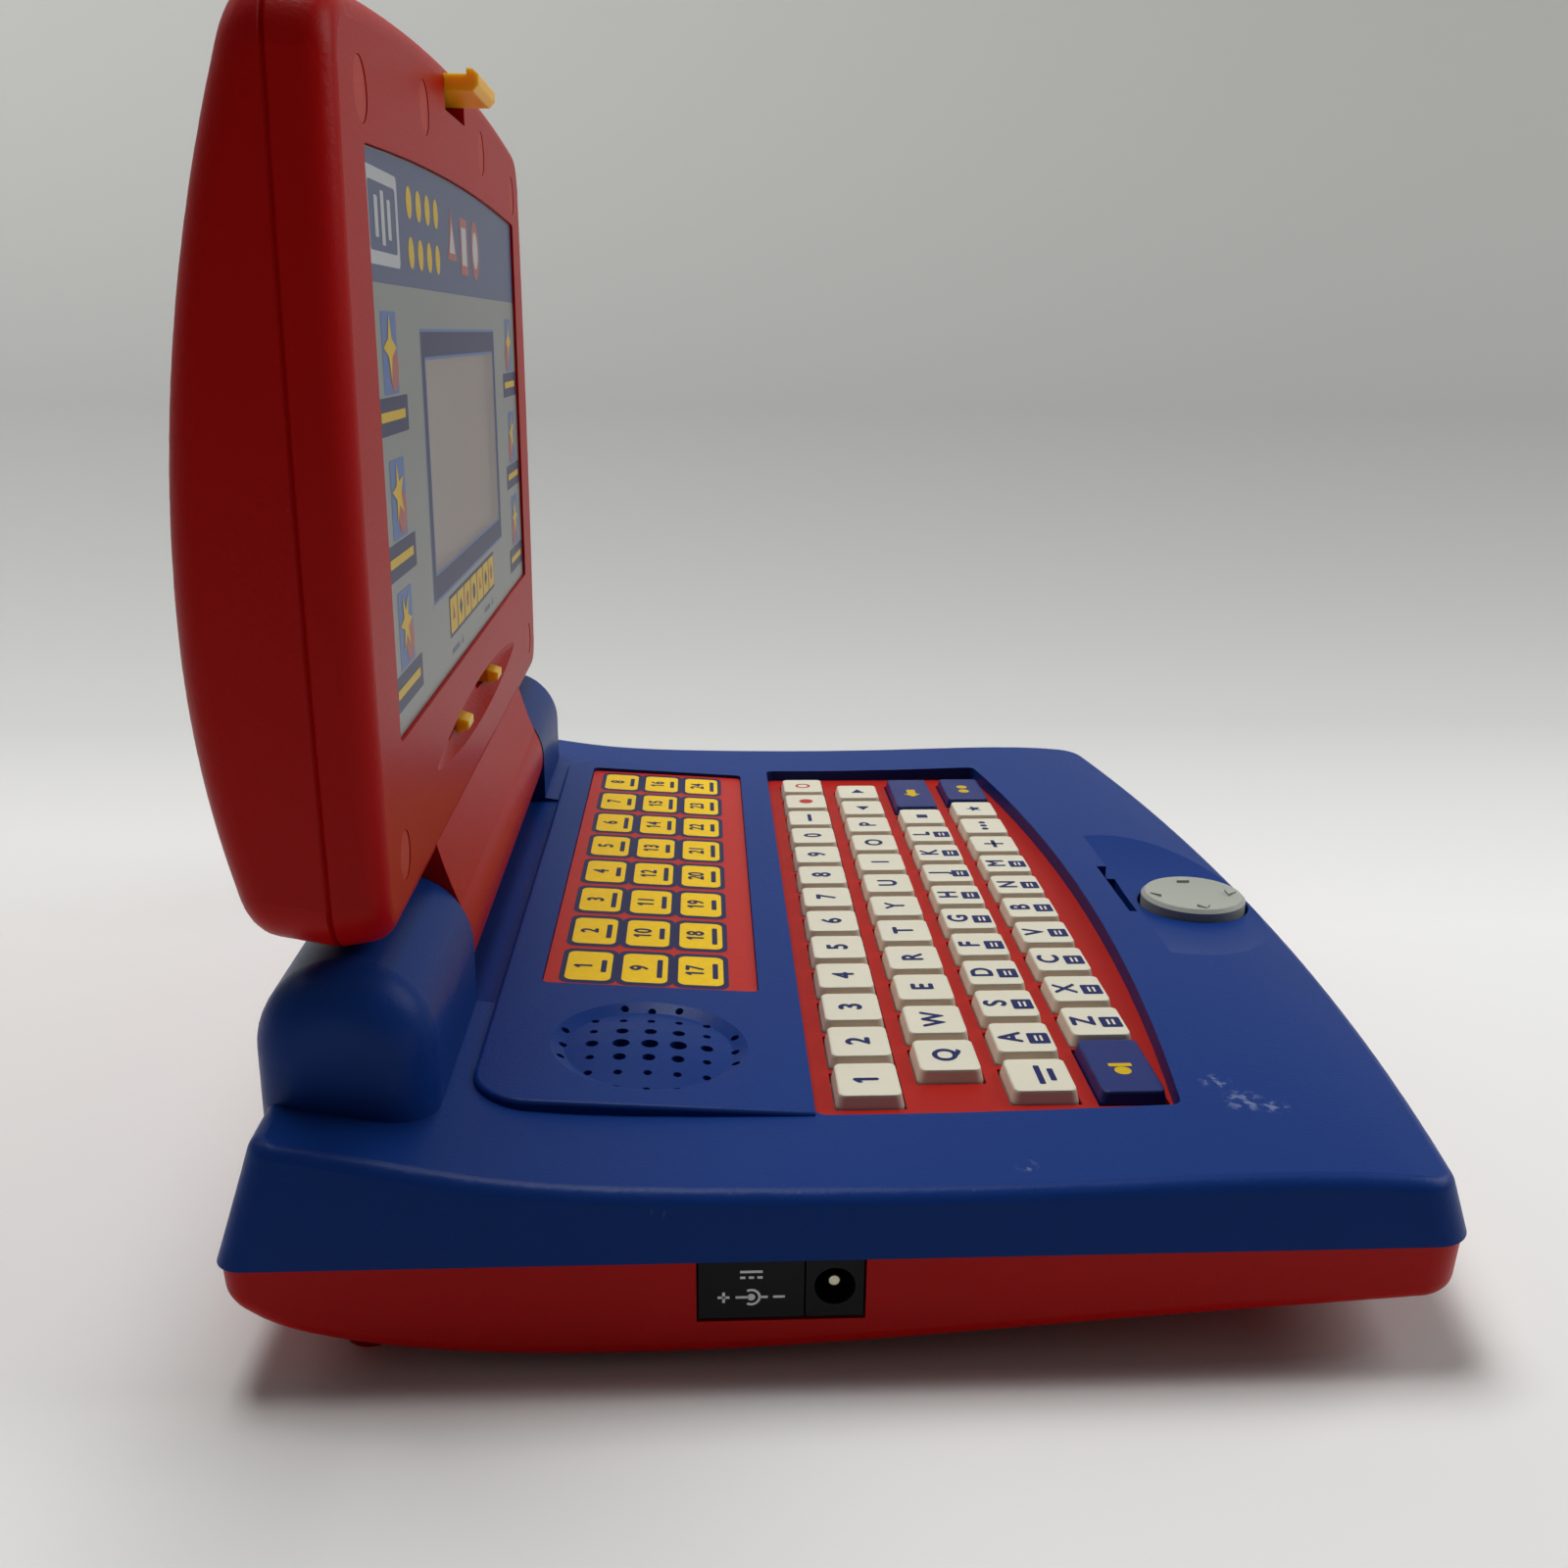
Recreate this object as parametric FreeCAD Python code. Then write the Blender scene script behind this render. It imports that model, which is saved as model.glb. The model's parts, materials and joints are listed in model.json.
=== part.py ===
import FreeCAD, Part
import math
import os

# Toy laptop computer. Millimetres, +Z up, +X to the user's right, +Y to the back, floor at Z = 0.
# The origin is on the floor under the middle of the open toy.

V = FreeCAD.Vector
ALONG_X = V(1, 0, 0)
ALONG_Y = V(0, 1, 0)
ALONG_Z = V(0, 0, 1)

# Base case, outline seen from above
BASE_WIDTH = 261.0
BASE_FRONT_Y = -103.0
BASE_REAR_Y = 99.0
FRONT_BOW_RADIUS = 760.0
FRONT_CORNER_RADIUS = 7.0
REAR_CORNER_RADIUS = 4.5

# Base case, heights and walls
SEAM_Z = 20.0
CASE_WALL = 2.4
UPPER_DRAFT = 16.0
LOWER_DRAFT = 3.0
SEAM_STEP = 0.5
RIM_EDGE_RADIUS = 2.5
LOWER_EDGE_RADIUS = 3.0

# Rim curve: distance in front of the rear edge (then behind the front edge), height above the seam
RIM_REAR_CURVE = ((-10.0, 18.8), (5.0, 18.0), (25.0, 14.5), (43.0, 11.6), (69.0, 10.0), (135.0, 10.0))
RIM_FRONT_CURVE = ((36.0, 10.6), (18.0, 9.6), (6.0, 7.6), (-8.0, 3.6))
# Belly curve of the lower case: the same distances, height above the floor
BELLY_REAR_CURVE = ((-12.0, 26.0), (0.0, 15.6), (6.0, 10.4), (17.0, 6.3), (33.0, 3.6), (53.0, 2.4))
BELLY_FRONT_CURVE = ((62.0, 6.7), (20.0, 9.3), (-10.0, 11.4))

# Feet
REAR_FOOT_X = 117.0
REAR_FOOT_Y = 79.0
REAR_FOOT_RADIUS = 5.0
FRONT_FOOT_X = 86.0
FRONT_FOOT_Y = -74.0
FRONT_FOOT_RADIUS = 6.5
FOOT_TAPER = 0.8

# Hinge
HINGE_Y = 82.5
HINGE_Z = 45.0
BARREL_RADIUS = 14.0
BARREL_OUTER_X = 113.5
BARREL_INNER_X = 65.0
BARREL_END_ROUND = 8.5
BARREL_ROOT = 4.0
BARREL_GAP = 0.6
PIN_RADIUS = 2.5
PIN_CLEARANCE = 0.06
PIN_LENGTH = 46.0
PIN_IN_LID = 12.0
TROUGH_CLEARANCE = 0.7
MOAT_DEPTH = 12.6
CLOSING_ANGLE = 91.9

# Deck: the raised console behind the keys
DECK_HALF_WIDTH = 104.0
DECK_FRONT_Y = 8.0
DECK_REAR_Y = 65.0
DECK_FRONT_Z = 30.2
DECK_SLOPE = 3.7
DECK_CORNER_RADIUS = 10.0
DECK_EDGE_RADIUS = 0.8

# Activity overlay, placed on the deck (distances up the slope from the deck's front edge)
OVERLAY_LEFT = -56.5
OVERLAY_RIGHT = 95.0
OVERLAY_NEAR = 7.7
OVERLAY_FAR = 49.6
OVERLAY_CORNER = 1.5
OVERLAY_THICKNESS = 0.8
OVERLAY_SUNK = 0.9
OVERLAY_CLEARANCE = 0.15

# Speaker grille on the deck
GRILLE_X = -81.0
GRILLE_UP = 28.0
GRILLE_DOME_RADIUS = 100.0
GRILLE_DOME_EDGE = 15.0
GRILLE_RIM_RADIUS = 17.5
GRILLE_PITCH = 5.1
GRILLE_FIELD_RADIUS = 16.4
GRILLE_SMALL_HOLE = 1.5
GRILLE_MIDDLE_HOLE = 2.3
GRILLE_LARGE_HOLE = 3.1
SPEAKER_RADIUS = 16.0
SPEAKER_HEIGHT = 11.0
SPEAKER_RIM = 1.6
SPEAKER_FLANGE = 1.0
SPEAKER_MAGNET_RADIUS = 9.6
SPEAKER_MAGNET_HEIGHT = 5.0

# Keyboard well and plate
WELL_HALF_WIDTH = 103.5
WELL_FRONT_Y = -60.7
WELL_CORNER_RADIUS = 2.0
PLATE_TOP_Z = 26.7
PLATE_THICKNESS = 2.0
PLATE_MARGIN = 3.0

# Keys
KEY_PITCH = 15.0
ROW_PITCH = 15.15
FIRST_ROW_Y = -2.0
ROW_START_X = (-90.0, -81.1, -89.3, -67.8)
KEY_TOP_WIDTH = 12.0
KEY_TOP_DEPTH = 10.8
KEY_BASE_GROWTH = 1.0
KEY_CORNER_RADIUS = 1.3
KEY_STAND = 2.3
KEY_HOLE_CLEARANCE = 0.3
KEY_FLANGE_GROWTH = 0.9
KEY_FLANGE_THICKNESS = 1.0
KEY_STOP_GAP = 0.1
KEY_TRAVEL = 1.6
WIDE_KEY_WIDTH = 20.0
ENTER_KEY_WIDTH = 26.0
WIDE_KEY_X = 86.0
ENTER_KEY_X = 82.5
ROW_KEY_COUNT = (13, 12, 11, 10)
DIGIT_KEY_COUNT = 10
LETTER_ROWS = ("", "qwertyuiop", "asdfghjkl", "zxcvbnm")
LETTER_START = (0, 0, 1, 0)

# Key mat and main board
MAT_THICKNESS = 1.2
MAT_BUMP_WIDTH = 7.0
MAT_BUMP_HEIGHT = 0.8
MAT_GAP = 0.3
BOARD_THICKNESS = 1.6
BOARD_MARGIN = 2.0
BOARD_POST_RADIUS = 3.0

# Palm rest: latch slot and cursor pad
SLOT_WIDTH = 30.0
SLOT_CLEARANCE = 0.35
PAD_Y = -87.4
PAD_RADIUS = 11.8
PAD_TOP_Z = 29.2
PAD_THICKNESS = 3.6
PAD_DISH_DEPTH = 1.0
PAD_RIM_WIDTH = 0.8
PAD_EDGE_BEVEL = 0.8
PAD_CLEARANCE = 0.8
PAD_ARROW_REACH = 9.4
PAD_ARROW_SIZE = 1.5
PAD_ARROW_HEIGHT = 1.2
SCOOP_RADIUS = 206.0
SCOOP_LOW_Z = 26.2
PIVOT_Z = 19.6
PIVOT_PIN_RADIUS = 1.5
PIVOT_CLEARANCE = 0.06
PIVOT_POST_X = 7.0
PIVOT_POST_THICKNESS = 2.4
PIVOT_POST_WIDTH = 6.0
PIVOT_LUG_Y = 5.0
PIVOT_LUG_THICKNESS = 2.4
PIVOT_LUG_WALL = 1.4

# Power jack in the left wall
JACK_Y = 6.6
JACK_WIDTH = 8.8
JACK_HEIGHT = 10.4
JACK_DEPTH = 13.0
JACK_TOP_GAP = 0.2
JACK_HOLE_RADIUS = 3.15
JACK_HOLE_DEPTH = 9.5
JACK_PIN_RADIUS = 1.0
JACK_PIN_SUNK = 1.5
JACK_PLATE_WIDTH = 16.0
JACK_PLATE_THICKNESS = 1.8
JACK_PIECE_GAP = 0.3
JACK_FACE_SUNK = 0.9
JACK_BOARD_GAP = 0.5

# Battery compartment, open to below
CELL_ROOM_WIDTH = 62.0
CELL_ROOM_FRONT_Y = 20.0
CELL_ROOM_REAR_Y = 74.0
CELL_ROOM_TOP_Z = 24.0
CELL_ROOM_WALL = 1.6
DOOR_CLEARANCE = 0.3
CELL_COUNT = 4
CONTACT_WIDTH = 9.0
CONTACT_HEIGHT = 10.0
CONTACT_THICKNESS = 0.5

# Case screws
CASE_SCREW_PLACES = ((117.0, 52.0), (112.0, -72.0))
BOSS_RADIUS = 4.2
SCREW_RADIUS = 1.3
SCREW_HEAD_RADIUS = 2.8
SCREW_HEAD_HEIGHT = 2.0
SCREW_CLEARANCE = 0.3
SCREW_GRIP = 6.0

# Lid outline, standing open
LID_WIDTH = 222.0
LID_BOTTOM_Z = 59.7
LID_TOP_Z = 203.5
LID_ARCH_RADIUS = 1100.0
LID_SIDE_RADIUS = 900.0
LID_SIDE_MIDDLE_Z = 125.0
LID_TOP_CORNER = 11.0
LID_BOTTOM_CORNER = 9.0
LID_FRONT_OFFSET = 8.1
LID_SEAM_OFFSET = 0.5
LID_BACK_RADIUS = 265.0
LID_BACK_LOWER_RADIUS = 165.0
LID_BACK_TURN = 30.0
LID_SEAM_GROOVE = 0.5
LID_BACK_OFFSET = 20.5
LID_BELLY_Z = 109.0
LID_WALL = 2.4
BEZEL_FRONT_WALL = 4.4
BEZEL_DRAFT = 1.0
BEZEL_EDGE_RADIUS = 4.5
COVER_DRAFT = 8.0
COVER_EDGE_RADIUS = 6.0
COVER_OVERRUN = 2.0

# Lid barrel and neck
LID_BARREL_RADIUS = 13.8
NECK_ANGLE = 15.0
NECK_WAIST = 10.6
NECK_WAIST_RISE = 10.5
NECK_TOP_RISE = 19.0
NECK_BACK = 12.0

# Screen lens, display tray and glass
LENS_HALF_WIDTH = 90.0
LENS_BOTTOM_Z = 89.5
LENS_CORNER_Z = 179.0
LENS_ARCH_RISE = 2.0
LENS_CORNER_RADIUS = 1.5
LENS_SUNK = 0.7
LENS_THICKNESS = 1.6
LENS_LEDGE = 3.0
LENS_CLEARANCE = 0.15
DISPLAY_Z = 129.0
DISPLAY_HALF_WIDTH = 45.0
DISPLAY_HALF_HEIGHT = 19.0
TRAY_WALL = 2.0
TRAY_DEPTH = 7.0
TRAY_TAPER = 2.5
GLASS_THICKNESS = 1.6
GLASS_MARGIN = 1.0

# Lid screws and the plugs over them: X, Z and plug radius
LID_SCREW_PLACES = ((90.0, 186.0, 4.5), (36.0, 190.5, 4.5), (92.0, 71.5, 4.0))
PLUG_THICKNESS = 1.4
PLUG_CLEARANCE = 0.1
PLUG_SUNK = 0.15
LID_BOSS_WALL = 1.2
LID_SCREW_SEAT = 5.6
LID_SCREW_GRIP = 4.5

# Latch at the top of the lid
LATCH_WIDTH = 24.0
LATCH_THICKNESS = 3.0
LATCH_TOP_Z = 199.6
LATCH_REACH = 6.4
LATCH_LIP = 1.0
LATCH_LIP_THICKNESS = 2.2
LATCH_NOSE_BEVEL = 1.1
LATCH_TAIL = 5.0
LATCH_CLEARANCE = 0.4
LATCH_TRAVEL = 3.0
SPRING_THICKNESS = 0.5
SPRING_LENGTH = 18.0
SPRING_WIDTH = 3.0
SPRING_BOW = 4.0
SHELF_THICKNESS = 1.6
SHELF_MARGIN = 2.0

# Slide knobs under the screen
KNOB_X = 23.0
KNOB_Z = 76.5
KNOB_WIDTH = 6.4
KNOB_ROOT_HEIGHT = 3.4
KNOB_TIP_HEIGHT = 1.6
KNOB_PROUD = 0.9
KNOB_HEAD_DEPTH = 1.8
KNOB_TRAVEL_LEFT = 6.5
KNOB_TRAVEL_RIGHT = 2.0
KNOB_STEM_WIDTH = 5.0
KNOB_STEM_HEIGHT = 2.6
KNOB_SLOT_CLEARANCE = 0.35
KNOB_FLANGE_GROWTH = 3.0
KNOB_FLANGE_THICKNESS = 1.2
SCALLOP_HALF_LENGTH = 66.0
SCALLOP_RADIUS = 4.7
SCALLOP_LIFT = 1.0
SCALLOP_BACKING = 2.0
CONTROL_BOARD_HALF_WIDTH = 45.0
CONTROL_BOARD_HEIGHT = 16.0
CONTROL_BOARD_THICKNESS = 1.6
CONTROL_GAP = 3.0
POT_LENGTH = 24.0
POT_HEIGHT = 7.0
POT_DEPTH = 2.5

# Margin for telling edges and faces apart
NEAR = 0.01

# Sizes worked out from the ones above
HALF_WIDTH = BASE_WIDTH / 2
FAR = BASE_WIDTH + BASE_REAR_Y - BASE_FRONT_Y
PLATE_BOTTOM_Z = PLATE_TOP_Z - PLATE_THICKNESS
KEY_TOP_Z = PLATE_TOP_Z + KEY_STAND
FLANGE_TOP_Z = PLATE_BOTTOM_Z - KEY_STOP_GAP
FLANGE_LOW_Z = FLANGE_TOP_Z - KEY_FLANGE_THICKNESS - KEY_TRAVEL
MAT_TOP_Z = FLANGE_LOW_Z - MAT_GAP - MAT_BUMP_HEIGHT
BOARD_TOP_Z = MAT_TOP_Z - MAT_THICKNESS
LID_FRONT_Y = HINGE_Y - LID_FRONT_OFFSET
LID_SEAM_Y = HINGE_Y + LID_SEAM_OFFSET
LID_BACK_Y = HINGE_Y + LID_BACK_OFFSET
BEZEL_BACK_Y = LID_FRONT_Y + BEZEL_FRONT_WALL
JACK_TOP_Z = SEAM_Z - JACK_TOP_GAP
JACK_LOW_Z = JACK_TOP_Z - JACK_HEIGHT
JACK_MIDDLE_Z = JACK_TOP_Z - JACK_HEIGHT / 2
JACK_FACE_X = -(HALF_WIDTH - SEAM_STEP - JACK_FACE_SUNK)
JACK_PLATE_Y = JACK_Y + JACK_WIDTH / 2 + JACK_PIECE_GAP + JACK_PLATE_WIDTH / 2


def line(start, end):
    return Part.LineSegment(start, end).toShape()


def arc(start, middle, end):
    return Part.Arc(start, middle, end).toShape()


def box(x0, x1, y0, y1, z0, z1):
    return Part.makeBox(x1 - x0, y1 - y0, z1 - z0, V(x0, y0, z0))


def cylinder_x(radius, x0, x1, y, z):
    return Part.makeCylinder(radius, x1 - x0, V(x0, y, z), ALONG_X)


def cylinder_y(radius, x, y0, y1, z):
    return Part.makeCylinder(radius, y1 - y0, V(x, y0, z), ALONG_Y)


def post(radius, x, y, z0, z1):
    return Part.makeCylinder(radius, z1 - z0, V(x, y, z0))


def prism(edges, direction):
    return Part.Face(Part.Wire(edges)).extrude(direction)


def polygon(points):
    return [line(a, b) for a, b in zip(points, points[1:] + points[:1])]


def joined(shapes):
    """One solid made of all the shapes."""
    return shapes[0].multiFuse(shapes[1:]).removeSplitter()


def group(shapes):
    return Part.makeCompound(shapes)


def both_sides(shape):
    return [shape, shape.mirror(V(0, 0, 0), ALONG_X)]


def sag(radius, reach):
    """How far an arc falls away from its crown at a distance from its middle."""
    return radius - math.sqrt(radius ** 2 - reach ** 2)


def rounded_rectangle(x, y, width, depth, radius, z):
    """Closed wire of a rectangle with rounded corners, level at height z."""
    hx = width / 2
    hy = depth / 2
    cut = radius * (1 - math.sqrt(0.5))
    edges = []
    for sx, sy in ((1, 1), (-1, 1), (-1, -1), (1, -1)):
        side = V(x + sx * hx, y + sy * (hy - radius), z)
        corner = V(x + sx * (hx - cut), y + sy * (hy - cut), z)
        end = V(x + sx * (hx - radius), y + sy * hy, z)
        first, last = (side, end) if sx * sy > 0 else (end, side)
        edges.append(arc(first, corner, last))
    ring = []
    for i, edge in enumerate(edges):
        ring.append(edge)
        ring.append(line(edge.Vertexes[1].Point, edges[(i + 1) % 4].Vertexes[0].Point))
    return Part.Wire(ring)


def side_curve(rear_points, front_points, base_z):
    """Smooth curve in the YZ plane from behind the rear edge to in front of the front edge."""
    points = [V(0, BASE_REAR_Y - distance, base_z + rise) for distance, rise in rear_points]
    points += [V(0, BASE_FRONT_Y + distance, base_z + rise) for distance, rise in front_points]
    curve = Part.BSplineCurve()
    curve.interpolate(points)
    return curve


def height_on(curve, y):
    """Height of a side curve at a distance y, found by halving."""
    low, high = curve.FirstParameter, curve.LastParameter
    while high - low > 1e-9:
        middle = (low + high) / 2
        if curve.value(middle).y > y:
            low = middle
        else:
            high = middle
    return curve.value(low).z


RIM_CURVE = side_curve(RIM_REAR_CURVE, RIM_FRONT_CURVE, SEAM_Z)
BELLY_CURVE = side_curve(BELLY_REAR_CURVE, BELLY_FRONT_CURVE, 0.0)


def curve_prism(curve, lift, level_z):
    """Solid across the whole width between a side curve, moved up by lift, and a level."""
    edge = curve.toShape()
    edge.translate(V(-FAR, 0, lift))
    start, end = (vertex.Point for vertex in edge.Vertexes)
    low_start = V(start.x, start.y, level_z)
    low_end = V(end.x, end.y, level_z)
    ring = [edge, line(end, low_end), line(low_end, low_start), line(low_start, start)]
    return prism(ring, V(2 * FAR, 0, 0))


def plan_wire(z, inset):
    """Outline of the base from above: bowed front, rounded corners, drawn in by inset."""
    half = HALF_WIDTH - inset
    rear = BASE_REAR_Y - inset
    bow_y = BASE_FRONT_Y + FRONT_BOW_RADIUS
    bow = FRONT_BOW_RADIUS - inset
    fr = FRONT_CORNER_RADIUS
    rr = REAR_CORNER_RADIUS
    corner = V(half - fr, bow_y - math.sqrt((bow - fr) ** 2 - (half - fr) ** 2), z)
    outward = (corner - V(0, bow_y, z)).normalize()
    touch = corner + outward * fr
    turn = corner + (outward + ALONG_X).normalize() * fr
    flip = lambda p: V(-p.x, p.y, p.z)
    side_front = V(half, corner.y, z)
    side_rear = V(half, rear - rr, z)
    rear_turn = V(half - rr * (1 - math.sqrt(0.5)), rear - rr * (1 - math.sqrt(0.5)), z)
    rear_end = V(half - rr, rear, z)
    return Part.Wire([
        arc(flip(touch), V(0, BASE_FRONT_Y + inset, z), touch),
        arc(touch, turn, side_front),
        line(side_front, side_rear),
        arc(side_rear, rear_turn, rear_end),
        line(rear_end, flip(rear_end)),
        arc(flip(rear_end), flip(rear_turn), flip(side_rear)),
        line(flip(side_rear), flip(side_front)),
        arc(flip(side_front), flip(turn), flip(touch)),
    ])


def case_blank(z0, z1, inset, draft):
    """Tapered block on the base's outline, as wide as the outline less inset at z0."""
    narrowing = abs(z1 - z0) * math.tan(math.radians(draft))
    return Part.makeLoft([plan_wire(z0, inset), plan_wire(z1, inset + narrowing)], True, True)


def on_deck(shape):
    """Moves a shape drawn flat, with Y up the slope, onto the deck's top face."""
    turn = FreeCAD.Rotation(ALONG_X, DECK_SLOPE)
    shape.Placement = FreeCAD.Placement(V(0, DECK_FRONT_Y, DECK_FRONT_Z), turn).multiply(shape.Placement)
    return shape


def closed_place(y, z):
    """Where a point of the standing lid comes to lie when the lid is shut."""
    turn = math.radians(CLOSING_ANGLE)
    dy = y - HINGE_Y
    dz = z - HINGE_Z
    return (HINGE_Y + dy * math.cos(turn) - dz * math.sin(turn),
            HINGE_Z + dy * math.sin(turn) + dz * math.cos(turn))


def well_prism(margin, z0, z1):
    """Block on the outline of the keyboard well, grown by margin; its front follows the base's bow."""
    half = WELL_HALF_WIDTH + margin
    rear = DECK_FRONT_Y + margin
    bow_y = BASE_FRONT_Y + FRONT_BOW_RADIUS
    bow = bow_y - WELL_FRONT_Y + margin
    side = bow_y - math.sqrt(bow ** 2 - half ** 2)
    corner = V(half, side, z0)
    ring = [
        arc(V(-half, side, z0), V(0, bow_y - bow, z0), corner),
        line(corner, V(half, rear, z0)),
        line(V(half, rear, z0), V(-half, rear, z0)),
        line(V(-half, rear, z0), V(-half, side, z0)),
    ]
    block = prism(ring, V(0, 0, z1 - z0))
    upright = [e for e in block.Edges if abs(e.Vertexes[0].Z - e.Vertexes[1].Z) > (z1 - z0) / 2]
    return block.makeFillet(WELL_CORNER_RADIUS + margin, upright)


def key_places():
    """Every key as name, centre X, centre Y and width."""
    places = []
    for row, start in enumerate(ROW_START_X):
        y = FIRST_ROW_Y - row * ROW_PITCH
        letters = LETTER_ROWS[row]
        for i in range(ROW_KEY_COUNT[row]):
            letter = i - LETTER_START[row]
            name = "function"
            if row == 0 and i < DIGIT_KEY_COUNT:
                name = "digit"
            elif 0 <= letter < len(letters):
                name = letters[letter]
            places.append((name, start + i * KEY_PITCH, y, KEY_TOP_WIDTH))
    row_three_y = FIRST_ROW_Y - 2 * ROW_PITCH
    row_four_y = FIRST_ROW_Y - 3 * ROW_PITCH
    places.append(("wide_enter", ENTER_KEY_X, row_three_y, ENTER_KEY_WIDTH))
    places.append(("wide_left", -WIDE_KEY_X, row_four_y, WIDE_KEY_WIDTH))
    places.append(("wide_right", WIDE_KEY_X, row_four_y, WIDE_KEY_WIDTH))
    return places


def key_solid(x, y, width):
    """Tapered key cap standing through the plate, on a flange that the plate stops."""
    low_width = width + KEY_BASE_GROWTH
    low_depth = KEY_TOP_DEPTH + KEY_BASE_GROWTH
    top = rounded_rectangle(x, y, width, KEY_TOP_DEPTH, KEY_CORNER_RADIUS, KEY_TOP_Z)
    waist = rounded_rectangle(x, y, low_width, low_depth, KEY_CORNER_RADIUS, PLATE_TOP_Z)
    foot = rounded_rectangle(x, y, low_width, low_depth, KEY_CORNER_RADIUS, FLANGE_TOP_Z)
    cap = Part.makeLoft([waist, top], True, True)
    stem = Part.Face(foot).extrude(V(0, 0, PLATE_TOP_Z - FLANGE_TOP_Z))
    hx = low_width / 2 + KEY_FLANGE_GROWTH / 2
    hy = low_depth / 2 + KEY_FLANGE_GROWTH / 2
    flange = box(x - hx, x + hx, y - hy, y + hy, FLANGE_TOP_Z - KEY_FLANGE_THICKNESS, FLANGE_TOP_Z)
    return joined([cap, stem, flange])


def hinge_barrel_blank():
    """Right-hand hinge barrel: round on top, upright sides below, with a softly rounded outer end."""
    top = V(BARREL_INNER_X, HINGE_Y, HINGE_Z + BARREL_RADIUS)
    front = V(BARREL_INNER_X, HINGE_Y - BARREL_RADIUS, HINGE_Z)
    back = V(BARREL_INNER_X, HINGE_Y + BARREL_RADIUS, HINGE_Z)
    low_z = SEAM_Z + BARREL_ROOT
    low_front = V(front.x, front.y, low_z)
    low_back = V(back.x, back.y, low_z)
    ring = [arc(front, top, back), line(back, low_back), line(low_back, low_front), line(low_front, front)]
    barrel = prism(ring, V(BARREL_OUTER_X - BARREL_INNER_X, 0, 0))
    end = max(barrel.Faces, key=lambda f: f.CenterOfMass.x)
    outer = [e for e in end.Edges if e.CenterOfMass.z > low_z + NEAR]
    return barrel.makeFillet(BARREL_END_ROUND, outer)


def grille_holes():
    """Drills for the grille: a round field of holes, larger towards its middle row."""
    drills = []
    for row in range(-3, 4):
        for column in range(-3, 4):
            if GRILLE_PITCH * math.hypot(row, column) > GRILLE_FIELD_RADIUS:
                continue
            size = GRILLE_SMALL_HOLE
            if row == 0 and abs(column) <= 1:
                size = GRILLE_LARGE_HOLE
            elif (abs(row) == 1 and abs(column) <= 1) or (row == 0 and abs(column) == 2):
                size = GRILLE_MIDDLE_HOLE
            x = GRILLE_X + row * GRILLE_PITCH
            y = GRILLE_UP + column * GRILLE_PITCH
            drills.append(post(size / 2, x, y, -4 * CASE_WALL, CASE_WALL))
    return drills


def grille_moat():
    """Ring groove that leaves a shallow dome of the speaker grille standing in it."""
    half_way = GRILLE_DOME_EDGE / 2
    crown = V(0, 0, 0)
    middle = V(half_way, 0, -sag(GRILLE_DOME_RADIUS, half_way))
    edge = V(GRILLE_DOME_EDGE, 0, -sag(GRILLE_DOME_RADIUS, GRILLE_DOME_EDGE))
    rim = V(GRILLE_RIM_RADIUS, 0, 0)
    ring = [arc(crown, middle, edge), line(edge, rim), line(rim, crown)]
    moat = Part.Face(Part.Wire(ring)).revolve(V(0, 0, 0), ALONG_Z, 360)
    moat.translate(V(GRILLE_X, GRILLE_UP, 0))
    return moat


def overlay_block(margin, low, high):
    """Block on the activity overlay's outline, drawn flat for the deck."""
    x = (OVERLAY_LEFT + OVERLAY_RIGHT) / 2
    y = (OVERLAY_NEAR + OVERLAY_FAR) / 2
    width = OVERLAY_RIGHT - OVERLAY_LEFT - 2 * margin
    depth = OVERLAY_FAR - OVERLAY_NEAR - 2 * margin
    wire = rounded_rectangle(x, y, width, depth, OVERLAY_CORNER, low)
    return Part.Face(wire).extrude(V(0, 0, high - low))


def deck_block():
    """Raised console: a wedge with rounded rear corners and softened top edges."""
    block = box(-DECK_HALF_WIDTH, DECK_HALF_WIDTH, DECK_FRONT_Y, DECK_REAR_Y, SEAM_Z, HINGE_Z)
    corners = [e for e in block.Edges
               if abs(e.Vertexes[0].Z - e.Vertexes[1].Z) > NEAR and e.Vertexes[0].Y > DECK_REAR_Y - NEAR]
    block = block.makeFillet(DECK_CORNER_RADIUS, corners)
    above = on_deck(box(-FAR, FAR, -FAR, FAR, 0, FAR))
    block = block.cut(above)
    top = max(block.Faces, key=lambda f: f.CenterOfMass.z)
    edges = [e for e in top.Edges if e.CenterOfMass.y > DECK_FRONT_Y + NEAR]
    return block.makeFillet(DECK_EDGE_RADIUS, edges)


def slot_place():
    """Centre and depth of the latch slot, which takes the whole hook when the lid is shut."""
    hook_middle_z = LATCH_TOP_Z + (LATCH_LIP - LATCH_THICKNESS) / 2
    depth = LATCH_THICKNESS + LATCH_LIP + 2 * SLOT_CLEARANCE
    return closed_place(LID_FRONT_Y - LATCH_REACH / 2, hook_middle_z)[0], depth


def trough_block(extra):
    """Room for the lid's barrel and neck between the two hinge barrels, grown by extra."""
    half = BARREL_INNER_X + extra
    radius = LID_BARREL_RADIUS + TROUGH_CLEARANCE + extra
    low_z = HINGE_Z - MOAT_DEPTH - extra
    front = DECK_REAR_Y - extra
    round_room = cylinder_x(radius, -half, half, HINGE_Y, HINGE_Z)
    moat = box(-half, half, front, HINGE_Y, low_z, HINGE_Z + BARREL_RADIUS)
    above = box(-half, half, front, BASE_REAR_Y, HINGE_Z, HINGE_Z + 2 * BARREL_RADIUS)
    return joined([round_room, moat, above])


def case_screw_spots():
    return [(sx * x, y) for x, y in CASE_SCREW_PLACES for sx in (1, -1)]


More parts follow.
